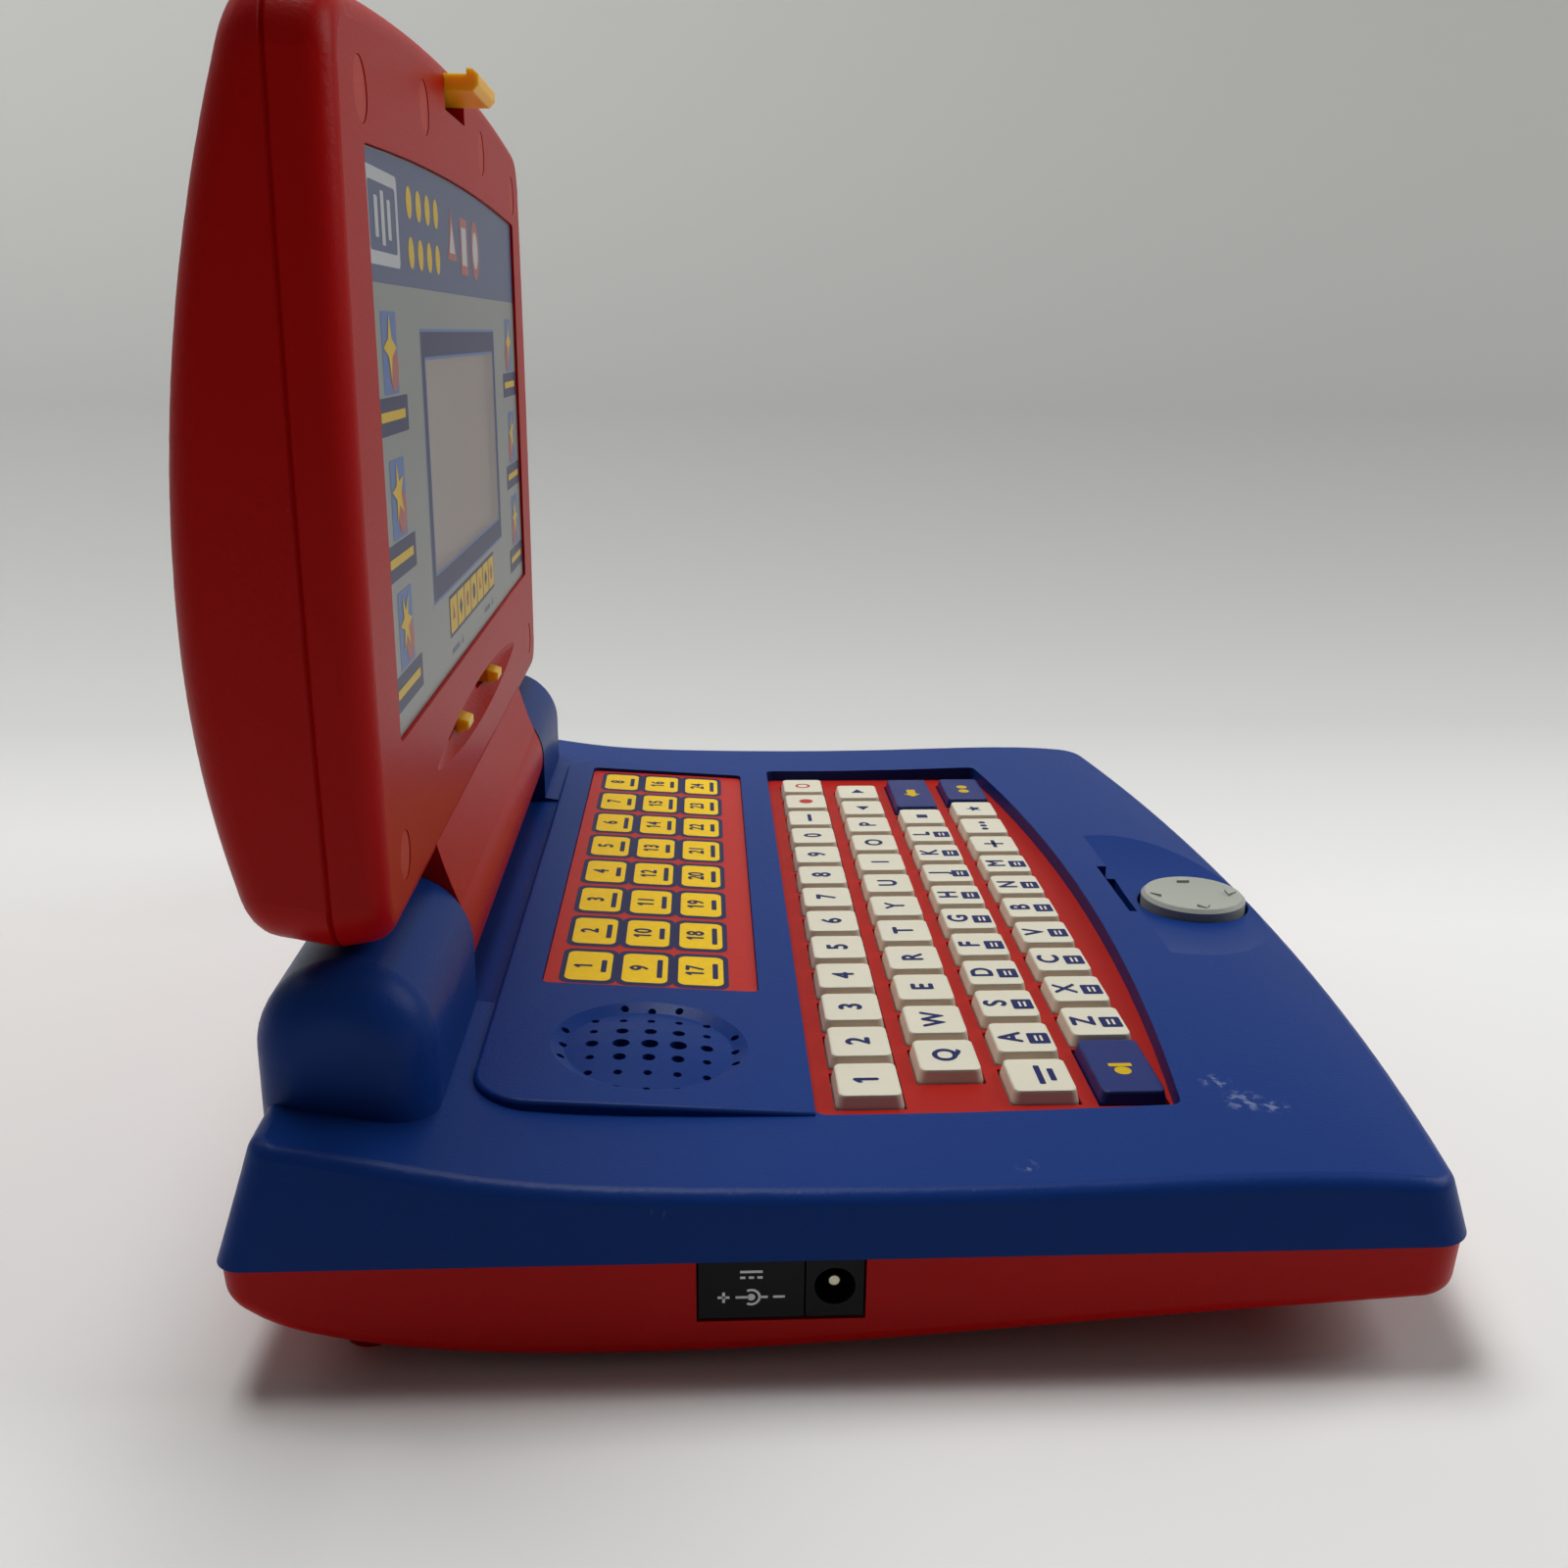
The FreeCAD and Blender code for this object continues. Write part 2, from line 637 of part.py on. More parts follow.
def base_top_shell():
    """Blue upper case with rim, deck, hinge barrels, keyboard well, grille and palm rest."""
    reach_z = HINGE_Z
    shell = case_blank(SEAM_Z, reach_z, 0.0, UPPER_DRAFT).common(curve_prism(RIM_CURVE, 0.0, 0.0))
    top = max(shell.Faces, key=lambda f: f.Area if f.CenterOfMass.z > SEAM_Z + NEAR else 0)
    shell = shell.makeFillet(RIM_EDGE_RADIUS, top.OuterWire.Edges)
    slot_y, slot_depth = slot_place()
    cavity = case_blank(SEAM_Z, reach_z, CASE_WALL, UPPER_DRAFT)
    cavity = cavity.common(curve_prism(RIM_CURVE, -CASE_WALL, 0.0))
    scoop_centre = V(0, PAD_Y, SCOOP_LOW_Z + SCOOP_RADIUS)
    slot_low = slot_y - slot_depth / 2
    slot_high = slot_y + slot_depth / 2
    scoop_wall = Part.makeSphere(SCOOP_RADIUS + CASE_WALL, scoop_centre)
    cavity = cavity.cut(scoop_wall.common(box(-FAR, FAR, -FAR, slot_high + CASE_WALL, SEAM_Z, HINGE_Z)))
    cavity = cavity.cut(trough_block(CASE_WALL))
    cavity = cavity.cut(well_prism(PLATE_MARGIN, PLATE_TOP_Z, HINGE_Z))
    for x, y in case_screw_spots():
        cavity = cavity.cut(post(BOSS_RADIUS, x, y, SEAM_Z, HINGE_Z))
    speaker_seat = post(SPEAKER_RADIUS, GRILLE_X, speaker_y(), speaker_top_z(), HINGE_Z)
    cavity = cavity.cut(speaker_seat)
    shell = joined([shell, deck_block()] + both_sides(hinge_barrel_blank()))
    shell = shell.cut(cavity)
    scoop = Part.makeSphere(SCOOP_RADIUS, scoop_centre)
    cuts = [
        well_prism(0.0, SEAM_Z, HINGE_Z),
        trough_block(0.0),
        scoop.common(box(-FAR, FAR, -FAR, slot_y, SEAM_Z, HINGE_Z)),
        post(PAD_RADIUS + PAD_CLEARANCE, 0, PAD_Y, SEAM_Z, HINGE_Z),
        box(-SLOT_WIDTH / 2, SLOT_WIDTH / 2, slot_low, slot_high, SEAM_Z, HINGE_Z),
        on_deck(overlay_block(0.0, -OVERLAY_SUNK - OVERLAY_THICKNESS, CASE_WALL)),
        on_deck(grille_moat()),
    ]
    cuts += [on_deck(drill) for drill in grille_holes()]
    cuts += both_sides(cylinder_x(PIN_RADIUS, BARREL_INNER_X - BARREL_GAP, pin_end_x(), HINGE_Y, HINGE_Z))
    for x, y in case_screw_spots():
        cuts.append(post(SCREW_RADIUS, x, y, SEAM_Z, SEAM_Z + SCREW_GRIP))
    return shell.cut(group(cuts))


def pin_end_x():
    return BARREL_INNER_X - BARREL_GAP - PIN_IN_LID + PIN_LENGTH


def hinge_pins():
    """Steel pins, fixed in the base's barrels and running in the lid's."""
    pin = cylinder_x(PIN_RADIUS, pin_end_x() - PIN_LENGTH, pin_end_x(), HINGE_Y, HINGE_Z)
    return group(both_sides(pin))


def speaker_y():
    return DECK_FRONT_Y + GRILLE_UP * math.cos(math.radians(DECK_SLOPE))


def speaker_top_z():
    return height_on(RIM_CURVE, speaker_y()) - CASE_WALL - SPEAKER_RIM


def loudspeaker():
    """Small loudspeaker under the grille: rim, cone basket and magnet."""
    top = speaker_top_z()
    low = top - SPEAKER_HEIGHT
    rim_low = top - SPEAKER_RIM
    points = [
        V(0, 0, low),
        V(SPEAKER_MAGNET_RADIUS, 0, low),
        V(SPEAKER_MAGNET_RADIUS, 0, low + SPEAKER_MAGNET_HEIGHT),
        V(SPEAKER_RADIUS - SPEAKER_FLANGE, 0, rim_low),
        V(SPEAKER_RADIUS, 0, rim_low),
        V(SPEAKER_RADIUS, 0, top),
        V(0, 0, top),
    ]
    body = Part.Face(Part.Wire(polygon(points))).revolve(V(0, 0, 0), ALONG_Z, 360)
    body.translate(V(GRILLE_X, speaker_y(), 0))
    return body


def activity_overlay():
    """Printed touch sheet, sunk in its pocket on the deck."""
    top = -OVERLAY_SUNK
    return on_deck(overlay_block(OVERLAY_CLEARANCE, top - OVERLAY_THICKNESS, top))


def keyboard_plate():
    """Red plate under the well, with a hole for each key."""
    plate = well_prism(PLATE_MARGIN, PLATE_BOTTOM_Z, PLATE_TOP_Z)
    grow = KEY_BASE_GROWTH / 2 + KEY_HOLE_CLEARANCE
    hy = KEY_TOP_DEPTH / 2 + grow
    holes = []
    for name, x, y, width in key_places():
        hx = width / 2 + grow
        holes.append(box(x - hx, x + hx, y - hy, y + hy, PLATE_BOTTOM_Z, PLATE_TOP_Z))
    return plate.cut(group(holes))


def key_mat():
    """Rubber sheet with one low square dome under each key, drawn at the pressed height."""
    sheet = well_prism(0.0, BOARD_TOP_Z, MAT_TOP_Z)
    half = MAT_BUMP_WIDTH / 2
    bumps = [box(x - half, x + half, y - half, y + half, MAT_TOP_Z, MAT_TOP_Z + MAT_BUMP_HEIGHT)
             for name, x, y, width in key_places()]
    return sheet.multiFuse(bumps)


def board_posts():
    """Corner places of the posts that carry the main board."""
    x = WELL_HALF_WIDTH - BOARD_POST_RADIUS
    front = WELL_FRONT_Y + 4 * BOARD_POST_RADIUS
    rear = DECK_FRONT_Y - BOARD_POST_RADIUS
    return [(sx * x, y) for sx in (1, -1) for y in (front, rear)]


def main_board():
    """Circuit board under the key mat, kept clear of the power jack."""
    board = well_prism(BOARD_MARGIN, BOARD_TOP_Z - BOARD_THICKNESS, BOARD_TOP_Z)
    half = JACK_WIDTH / 2 + JACK_BOARD_GAP
    jack_back = JACK_FACE_X + JACK_DEPTH + JACK_BOARD_GAP
    return board.cut(box(-FAR, jack_back, JACK_Y - half, JACK_Y + half, 0, SEAM_Z))


def lower_skin(lift):
    """Outside form of the lower case, moved up by lift on its belly."""
    blank = case_blank(SEAM_Z, -SEAM_Z, SEAM_STEP, LOWER_DRAFT)
    return blank.common(curve_prism(BELLY_CURVE, lift, SEAM_Z + FAR)).common(
        box(-FAR, FAR, -FAR, FAR, -FAR, SEAM_Z))


def cell_room(margin, z0, z1):
    half = CELL_ROOM_WIDTH / 2 + margin
    return box(-half, half, CELL_ROOM_FRONT_Y - margin, CELL_ROOM_REAR_Y + margin, z0, z1)


def pivot_post():
    """Right-hand post that carries the cursor pad's cross pin."""
    half_x = PIVOT_POST_THICKNESS / 2
    half_y = PIVOT_POST_WIDTH / 2
    low_z = height_on(BELLY_CURVE, PAD_Y) + CASE_WALL / 2
    return box(PIVOT_POST_X - half_x, PIVOT_POST_X + half_x, PAD_Y - half_y, PAD_Y + half_y,
               low_z, PIVOT_Z + half_y)


def base_bottom_shell():
    """Red lower case: curved belly, moulded feet, battery room, screw bosses and jack opening."""
    outside = lower_skin(0.0)
    belly = [f for f in outside.Faces if f.CenterOfMass.z < SEAM_Z - NEAR and abs(f.normalAt(0, 0).x) < NEAR]
    belly = max(belly, key=lambda f: f.Area)
    outside = outside.makeFillet(LOWER_EDGE_RADIUS, belly.OuterWire.Edges)
    feet = []
    for x, y, radius in ((REAR_FOOT_X, REAR_FOOT_Y, REAR_FOOT_RADIUS),
                         (FRONT_FOOT_X, FRONT_FOOT_Y, FRONT_FOOT_RADIUS)):
        height = height_on(BELLY_CURVE, y - radius) + CASE_WALL
        feet += both_sides(Part.makeCone(radius - FOOT_TAPER, radius, height, V(x, y, 0)))
    cavity = case_blank(SEAM_Z, -SEAM_Z, SEAM_STEP + CASE_WALL, LOWER_DRAFT)
    cavity = cavity.common(curve_prism(BELLY_CURVE, CASE_WALL, SEAM_Z + FAR))
    cavity = cavity.common(box(-FAR, FAR, -FAR, FAR, -FAR, SEAM_Z))
    cavity = cavity.cut(cell_room(CELL_ROOM_WALL, 0, SEAM_Z))
    for x, y in case_screw_spots():
        cavity = cavity.cut(post(BOSS_RADIUS, x, y, 0, SEAM_Z))
    for x, y in board_posts():
        cavity = cavity.cut(post(BOARD_POST_RADIUS, x, y, 0, BOARD_TOP_Z - BOARD_THICKNESS))
    shell = joined([outside] + feet).cut(cavity)
    roof = cell_room(CELL_ROOM_WALL, SEAM_Z, CELL_ROOM_TOP_Z + CELL_ROOM_WALL)
    shell = joined([shell, roof] + both_sides(pivot_post()))
    cuts = [cell_room(0.0, 0, CELL_ROOM_TOP_Z)]
    across = PIVOT_POST_X + PIVOT_POST_THICKNESS
    cuts.append(cylinder_x(PIVOT_PIN_RADIUS + PIVOT_CLEARANCE, -across, across, PAD_Y, PIVOT_Z))
    for x, y in case_screw_spots():
        cuts.append(post(SCREW_RADIUS + SCREW_CLEARANCE, x, y, 0, SEAM_Z))
        cuts.append(post(SCREW_HEAD_RADIUS + SCREW_CLEARANCE, x, y, 0, SEAM_Z - SCREW_GRIP))
    cuts.append(jack_opening())
    return shell.cut(group(cuts))


def jack_opening():
    """Opening in the left wall for the power jack and the plate beside it."""
    front = JACK_Y - JACK_WIDTH / 2 - JACK_PIECE_GAP
    rear = JACK_PLATE_Y + JACK_PLATE_WIDTH / 2 + JACK_PIECE_GAP
    return box(-FAR, JACK_FACE_X + 2 * CASE_WALL, front, rear, JACK_LOW_Z - JACK_PIECE_GAP, SEAM_Z)


def dc_jack():
    """Round power socket in a black box, with its centre pin."""
    back = JACK_FACE_X + JACK_DEPTH
    half = JACK_WIDTH / 2
    body = box(JACK_FACE_X, back, JACK_Y - half, JACK_Y + half, JACK_LOW_Z, JACK_TOP_Z)
    hole = cylinder_x(JACK_HOLE_RADIUS, JACK_FACE_X, JACK_FACE_X + JACK_HOLE_DEPTH, JACK_Y, JACK_MIDDLE_Z)
    pin = cylinder_x(JACK_PIN_RADIUS, JACK_FACE_X + JACK_PIN_SUNK, back, JACK_Y, JACK_MIDDLE_Z)
    return joined([body.cut(hole), pin])


def jack_plate():
    """Black cover plate beside the jack."""
    back = JACK_FACE_X + JACK_PLATE_THICKNESS
    half = JACK_PLATE_WIDTH / 2
    return box(JACK_FACE_X, back, JACK_PLATE_Y - half, JACK_PLATE_Y + half, JACK_LOW_Z, JACK_TOP_Z)


def battery_door():
    """Door that closes the battery room from below, flush with the curved belly."""
    skin = lower_skin(0.0).cut(curve_prism(BELLY_CURVE, CASE_WALL, SEAM_Z + FAR))
    return skin.common(cell_room(-DOOR_CLEARANCE, 0, SEAM_Z))


def battery_contacts():
    """Spring plates at both ends of each cell's place."""
    pitch = CELL_ROOM_WIDTH / CELL_COUNT
    top = CELL_ROOM_TOP_Z - CONTACT_THICKNESS
    plates = []
    for i in range(CELL_COUNT):
        x = (i + 0.5) * pitch - CELL_ROOM_WIDTH / 2
        for y in (CELL_ROOM_FRONT_Y, CELL_ROOM_REAR_Y - CONTACT_THICKNESS):
            plates.append(box(x - CONTACT_WIDTH / 2, x + CONTACT_WIDTH / 2, y, y + CONTACT_THICKNESS,
                              top - CONTACT_HEIGHT, top))
    return group(plates)


def screw(x, y, head_z):
    """Screw driven upwards, with the underside of its head at head_z."""
    head = post(SCREW_HEAD_RADIUS, x, y, head_z - SCREW_HEAD_HEIGHT, head_z)
    return joined([head, post(SCREW_RADIUS, x, y, head_z, SEAM_Z + SCREW_GRIP)])


def case_screws():
    return group([screw(x, y, SEAM_Z - SCREW_GRIP) for x, y in case_screw_spots()])


def cursor_pad():
    """Grey rocker: dished disc with four raised arrows, on two lugs that hold the pivot."""
    low_z = PAD_TOP_Z - PAD_THICKNESS
    dish_z = PAD_TOP_Z - PAD_DISH_DEPTH
    rim_r = PAD_RADIUS - PAD_EDGE_BEVEL
    dish_r = rim_r - PAD_RIM_WIDTH
    dish_curve = (dish_r ** 2 + PAD_DISH_DEPTH ** 2) / (2 * PAD_DISH_DEPTH)
    points = [
        V(dish_r, 0, PAD_TOP_Z),
        V(rim_r, 0, PAD_TOP_Z),
        V(PAD_RADIUS, 0, PAD_TOP_Z - PAD_EDGE_BEVEL),
        V(PAD_RADIUS, 0, low_z),
        V(0, 0, low_z),
        V(0, 0, dish_z),
    ]
    ring = [line(a, b) for a, b in zip(points, points[1:])]
    ring.append(arc(points[-1], V(dish_r / 2, 0, dish_z + sag(dish_curve, dish_r / 2)), points[0]))
    pieces = [Part.Face(Part.Wire(ring)).revolve(V(0, 0, 0), ALONG_Z, 360)]
    for quarter in range(4):
        tip = V(PAD_ARROW_REACH + PAD_ARROW_SIZE / 2, 0, dish_z)
        left = V(PAD_ARROW_REACH - PAD_ARROW_SIZE, PAD_ARROW_SIZE, dish_z)
        right = V(PAD_ARROW_REACH - PAD_ARROW_SIZE, -PAD_ARROW_SIZE, dish_z)
        arrow = prism(polygon([tip, left, right]), V(0, 0, PAD_ARROW_HEIGHT))
        arrow.rotate(V(0, 0, 0), ALONG_Z, quarter * 90)
        pieces.append(arrow)
    lug_x = PIVOT_PIN_RADIUS + PIVOT_LUG_WALL
    lug_y = PIVOT_LUG_THICKNESS / 2
    for y in (PIVOT_LUG_Y, -PIVOT_LUG_Y):
        pieces.append(box(-lug_x, lug_x, y - lug_y, y + lug_y, PIVOT_Z - lug_x, low_z))
    pad = joined(pieces)
    pad = pad.cut(cylinder_y(PIVOT_PIN_RADIUS + PIVOT_CLEARANCE, 0, -PAD_RADIUS, PAD_RADIUS, PIVOT_Z))
    pad.translate(V(0, PAD_Y, 0))
    return pad


def cursor_pivot():
    """Cross pin that lets the cursor pad rock both ways."""
    across = PIVOT_POST_X + PIVOT_POST_THICKNESS / 2
    along = PIVOT_LUG_Y + PIVOT_LUG_THICKNESS / 2
    return joined([cylinder_x(PIVOT_PIN_RADIUS, -across, across, PAD_Y, PIVOT_Z),
                   cylinder_y(PIVOT_PIN_RADIUS, 0, PAD_Y - along, PAD_Y + along, PIVOT_Z)])


def lid_wire(y, inset):
    """Outline of the lid from the front: arched top, bowed sides, rounded corners, drawn in by inset."""
    side_r = LID_SIDE_RADIUS - inset
    arch_r = LID_ARCH_RADIUS - inset
    side_c = V(LID_WIDTH / 2 - LID_SIDE_RADIUS, y, LID_SIDE_MIDDLE_Z)
    arch_c = V(0, y, LID_TOP_Z - LID_ARCH_RADIUS)
    low = LID_BOTTOM_Z + inset
    br = LID_BOTTOM_CORNER
    tr = LID_TOP_CORNER
    low_z = low + br
    low_c = V(side_c.x + math.sqrt((side_r - br) ** 2 - (low_z - side_c.z) ** 2), y, low_z)
    top_c = circle_crossing(side_c, side_r - tr, arch_c, arch_r - tr)
    low_touch = low_c + (low_c - side_c).normalize() * br
    top_touch = top_c + (top_c - side_c).normalize() * tr
    arch_touch = top_c + (top_c - arch_c).normalize() * tr
    low_turn = low_c + ((low_c - side_c).normalize() - ALONG_Z).normalize() * br
    top_turn = top_c + ((top_c - side_c).normalize() + (top_c - arch_c).normalize()).normalize() * tr
    low_end = V(low_c.x, y, low)
    side_middle = V(side_c.x + side_r, y, LID_SIDE_MIDDLE_Z)
    flip = lambda p: V(-p.x, p.y, p.z)
    return Part.Wire([
        line(flip(low_end), low_end),
        arc(low_end, low_turn, low_touch),
        arc(low_touch, side_middle, top_touch),
        arc(top_touch, top_turn, arch_touch),
        arc(arch_touch, V(0, y, LID_TOP_Z - inset), flip(arch_touch)),
        arc(flip(arch_touch), flip(top_turn), flip(top_touch)),
        arc(flip(top_touch), flip(side_middle), flip(low_touch)),
        arc(flip(low_touch), flip(low_turn), flip(low_end)),
    ])


def circle_crossing(c1, r1, c2, r2):
    """Upper right crossing of two circles that lie in one XZ plane."""
    between = c2 - c1
    d = between.Length
    along = (d * d + r1 * r1 - r2 * r2) / (2 * d)
    across = math.sqrt(r1 * r1 - along * along)
    unit = between / d
    foot = c1 + unit * along
    normal = V(-unit.z, 0, unit.x)
    one = foot + normal * across
    two = foot - normal * across
    return one if one.x + one.z > two.x + two.z else two


def lid_loft(y0, inset0, y1, inset1):
    return Part.makeLoft([lid_wire(y0, inset0), lid_wire(y1, inset1)], True, True)


def back_arc_prism(inset):
    """Everything in front of the lid's curved back, an upper and a tighter lower arc, drawn in by inset."""
    turn = math.radians(LID_BACK_TURN)
    def on_arc(radius, angle):
        reach = radius - inset
        return V(-FAR, LID_BACK_Y - radius + reach * math.cos(angle), LID_BELLY_Z + reach * math.sin(angle))
    top = on_arc(LID_BACK_RADIUS, turn)
    belly = on_arc(LID_BACK_RADIUS, 0)
    low = on_arc(LID_BACK_LOWER_RADIUS, -turn)
    far_top = V(-FAR, LID_BACK_Y - FAR, top.z)
    far_low = V(-FAR, LID_BACK_Y - FAR, low.z)
    ring = [
        arc(top, on_arc(LID_BACK_RADIUS, turn / 2), belly),
        arc(belly, on_arc(LID_BACK_LOWER_RADIUS, -turn / 2), low),
        line(low, far_low),
        line(far_low, far_top),
        line(far_top, top),
    ]
    return prism(ring, V(2 * FAR, 0, 0))


def lens_block(margin, y0, y1):
    """Block on the screen lens's outline, with its slightly arched top, drawn in by margin."""
    half = LENS_HALF_WIDTH - margin
    low = LENS_BOTTOM_Z + margin
    high = LENS_CORNER_Z - margin
    ring = [
        line(V(-half, y0, low), V(half, y0, low)),
        line(V(half, y0, low), V(half, y0, high)),
        arc(V(half, y0, high), V(0, y0, high + LENS_ARCH_RISE), V(-half, y0, high)),
        line(V(-half, y0, high), V(-half, y0, low)),
    ]
    block = prism(ring, V(0, y1 - y0, 0))
    corners = [e for e in block.Edges if abs(e.Vertexes[0].Y - e.Vertexes[1].Y) > (y1 - y0) / 2]
    return block.makeFillet(LENS_CORNER_RADIUS, corners)


def lid_screw_spots():
    return [(sx * x, z, radius) for x, z, radius in LID_SCREW_PLACES for sx in (1, -1)]


def scallop():
    """Spindle that hollows the lens-shaped finger groove under the screen."""
    end = SCALLOP_HALF_LENGTH
    ring = [arc(V(-end, 0, 0), V(0, 0, SCALLOP_RADIUS), V(end, 0, 0)), line(V(end, 0, 0), V(-end, 0, 0))]
    spindle = Part.Face(Part.Wire(ring)).revolve(V(0, 0, 0), ALONG_X, 360)
    spindle.translate(V(0, LID_FRONT_Y - SCALLOP_LIFT, KNOB_Z))
    return spindle


def knob_slot(x):
    """Slot that one slide knob's stem runs in."""
    left = x - KNOB_STEM_WIDTH / 2 - KNOB_TRAVEL_LEFT - KNOB_SLOT_CLEARANCE
    right = x + KNOB_STEM_WIDTH / 2 + KNOB_TRAVEL_RIGHT + KNOB_SLOT_CLEARANCE
    half = KNOB_STEM_HEIGHT / 2 + KNOB_SLOT_CLEARANCE
    return box(left, right, LID_FRONT_Y, LID_SEAM_Y, KNOB_Z - half, KNOB_Z + half)


def lid_neck():
    """Lid barrel and the flared neck that carries the lid on it."""
    half = BARREL_INNER_X - BARREL_GAP
    angle = math.radians(NECK_ANGLE)
    at = lambda dy, dz: V(-half, HINGE_Y + dy, HINGE_Z + dz)
    out = LID_BARREL_RADIUS * math.cos(angle)
    up = LID_BARREL_RADIUS * math.sin(angle)
    lid_rise = LID_BOTTOM_Z - HINGE_Z
    front = at(-out, up)
    front_top = at(-LID_FRONT_OFFSET, NECK_TOP_RISE)
    corners = [
        front_top,
        at(LID_SEAM_OFFSET, NECK_TOP_RISE),
        at(LID_SEAM_OFFSET, lid_rise),
        at(NECK_BACK, lid_rise),
        at(out, up),
        front,
    ]
    ring = [arc(front, at(-NECK_WAIST, NECK_WAIST_RISE), front_top)]
    ring += [line(a, b) for a, b in zip(corners, corners[1:])]
    neck = prism(ring, V(2 * half, 0, 0))
    return joined([cylinder_x(LID_BARREL_RADIUS, -half, half, HINGE_Y, HINGE_Z), neck])


def lid_bezel():
    """Red front of the lid: frame round the screen, barrel and neck, latch notch and knob slots."""
    groove_y = LID_SEAM_Y - LID_SEAM_GROOVE
    bezel = lid_loft(groove_y, 0.0, LID_FRONT_Y, BEZEL_DRAFT)
    front = min(bezel.Faces, key=lambda f: f.CenterOfMass.y)
    bezel = bezel.makeFillet(BEZEL_EDGE_RADIUS, front.OuterWire.Edges)
    bezel = joined([bezel, lid_loft(LID_SEAM_Y, LID_SEAM_GROOVE, groove_y, 0.0)])
    cavity = lid_loft(LID_SEAM_Y, LID_WALL, BEZEL_BACK_Y, LID_WALL + BEZEL_DRAFT)
    backing_half = KNOB_X + POT_LENGTH
    backing = box(-backing_half, backing_half, BEZEL_BACK_Y, BEZEL_BACK_Y + SCALLOP_BACKING,
                  KNOB_Z - POT_HEIGHT, KNOB_Z + POT_HEIGHT)
    cavity = cavity.cut(backing)
    for x, z, radius in lid_screw_spots():
        cavity = cavity.cut(cylinder_y(radius + LID_BOSS_WALL, x, LID_FRONT_Y, LID_SEAM_Y, z))
    shelf_z = latch_shelf_z()
    shelf_half = SPRING_LENGTH / 2 + SHELF_MARGIN
    cavity = cavity.cut(box(-shelf_half, shelf_half, BEZEL_BACK_Y, latch_tail_y(),
                            shelf_z - SHELF_THICKNESS, shelf_z))
    bezel = joined([bezel.cut(cavity), lid_neck()])
    half = LATCH_WIDTH / 2 + LATCH_CLEARANCE
    notch_low = LATCH_TOP_Z - LATCH_THICKNESS - LATCH_TRAVEL - LATCH_CLEARANCE
    cuts = [
        lens_block(0.0, LID_FRONT_Y, LID_FRONT_Y + LENS_SUNK + LENS_THICKNESS),
        lens_block(LENS_LEDGE, LID_FRONT_Y, BEZEL_BACK_Y),
        scallop(),
        knob_slot(-KNOB_X),
        knob_slot(KNOB_X),
        box(-half, half, LID_FRONT_Y, BEZEL_BACK_Y, notch_low, LATCH_TOP_Z + LATCH_CLEARANCE),
    ]
    for x, z, radius in lid_screw_spots():
        plug_seat = LID_FRONT_Y + PLUG_SUNK + PLUG_THICKNESS
        head_seat = LID_FRONT_Y + LID_SCREW_SEAT
        cuts.append(cylinder_y(radius + PLUG_CLEARANCE, x, LID_FRONT_Y, plug_seat, z))
        cuts.append(cylinder_y(SCREW_HEAD_RADIUS + SCREW_CLEARANCE, x, LID_FRONT_Y, head_seat, z))
        cuts.append(cylinder_y(SCREW_RADIUS + SCREW_CLEARANCE, x, LID_FRONT_Y, LID_SEAM_Y, z))
    bore_end = pin_end_x() - PIN_LENGTH - BARREL_GAP
    cuts += both_sides(cylinder_x(PIN_RADIUS + PIN_CLEARANCE, bore_end, BARREL_INNER_X, HINGE_Y, HINGE_Z))
    return bezel.cut(group(cuts))


def lid_back_cover():
    """Red back of the lid: a shallow curved bowl with screw bosses."""
    depth = LID_BACK_OFFSET - LID_SEAM_OFFSET + COVER_OVERRUN
    narrowing = depth * math.tan(math.radians(COVER_DRAFT))
    end_y = LID_SEAM_Y + depth
    groove_y = LID_SEAM_Y + LID_SEAM_GROOVE
    cover = lid_loft(groove_y, 0.0, end_y, narrowing).common(back_arc_prism(0.0))
    back = sorted(cover.Faces, key=lambda f: f.CenterOfMass.y)[-2:]
    rim = [e for f in back for e in f.OuterWire.Edges if abs(e.CenterOfMass.z - LID_BELLY_Z) > NEAR]
    cover = cover.makeFillet(COVER_EDGE_RADIUS, rim)
    cover = joined([cover, lid_loft(LID_SEAM_Y, LID_SEAM_GROOVE, groove_y, 0.0)])
    cavity = lid_loft(LID_SEAM_Y, LID_WALL, end_y, LID_WALL + narrowing).common(back_arc_prism(LID_WALL))
    for x, z, radius in lid_screw_spots():
        cavity = cavity.cut(cylinder_y(BOSS_RADIUS, x, LID_SEAM_Y, LID_BACK_Y, z))
    cover = cover.cut(cavity)
    holes = [cylinder_y(SCREW_RADIUS, x, LID_SEAM_Y, LID_SEAM_Y + LID_SCREW_GRIP, z)
             for x, z, radius in lid_screw_spots()]
    return cover.cut(group(holes))


def screen_lens():
    """Printed clear lens over the display, seated in the bezel."""
    y = LID_FRONT_Y + LENS_SUNK
    return lens_block(LENS_CLEARANCE, y, y + LENS_THICKNESS)


def display_tray():
    """Frame behind the lens with walls that narrow to the display glass."""
    y0 = LID_FRONT_Y + LENS_SUNK + LENS_THICKNESS
    y1 = y0 + TRAY_DEPTH
    half_x = DISPLAY_HALF_WIDTH + TRAY_WALL
    half_z = DISPLAY_HALF_HEIGHT + TRAY_WALL
    block = box(-half_x, half_x, y0, y1, DISPLAY_Z - half_z, DISPLAY_Z + half_z)
    return block.cut(Part.makeLoft([display_wire(y0, 0.0), display_wire(y1, TRAY_TAPER)], True, True))


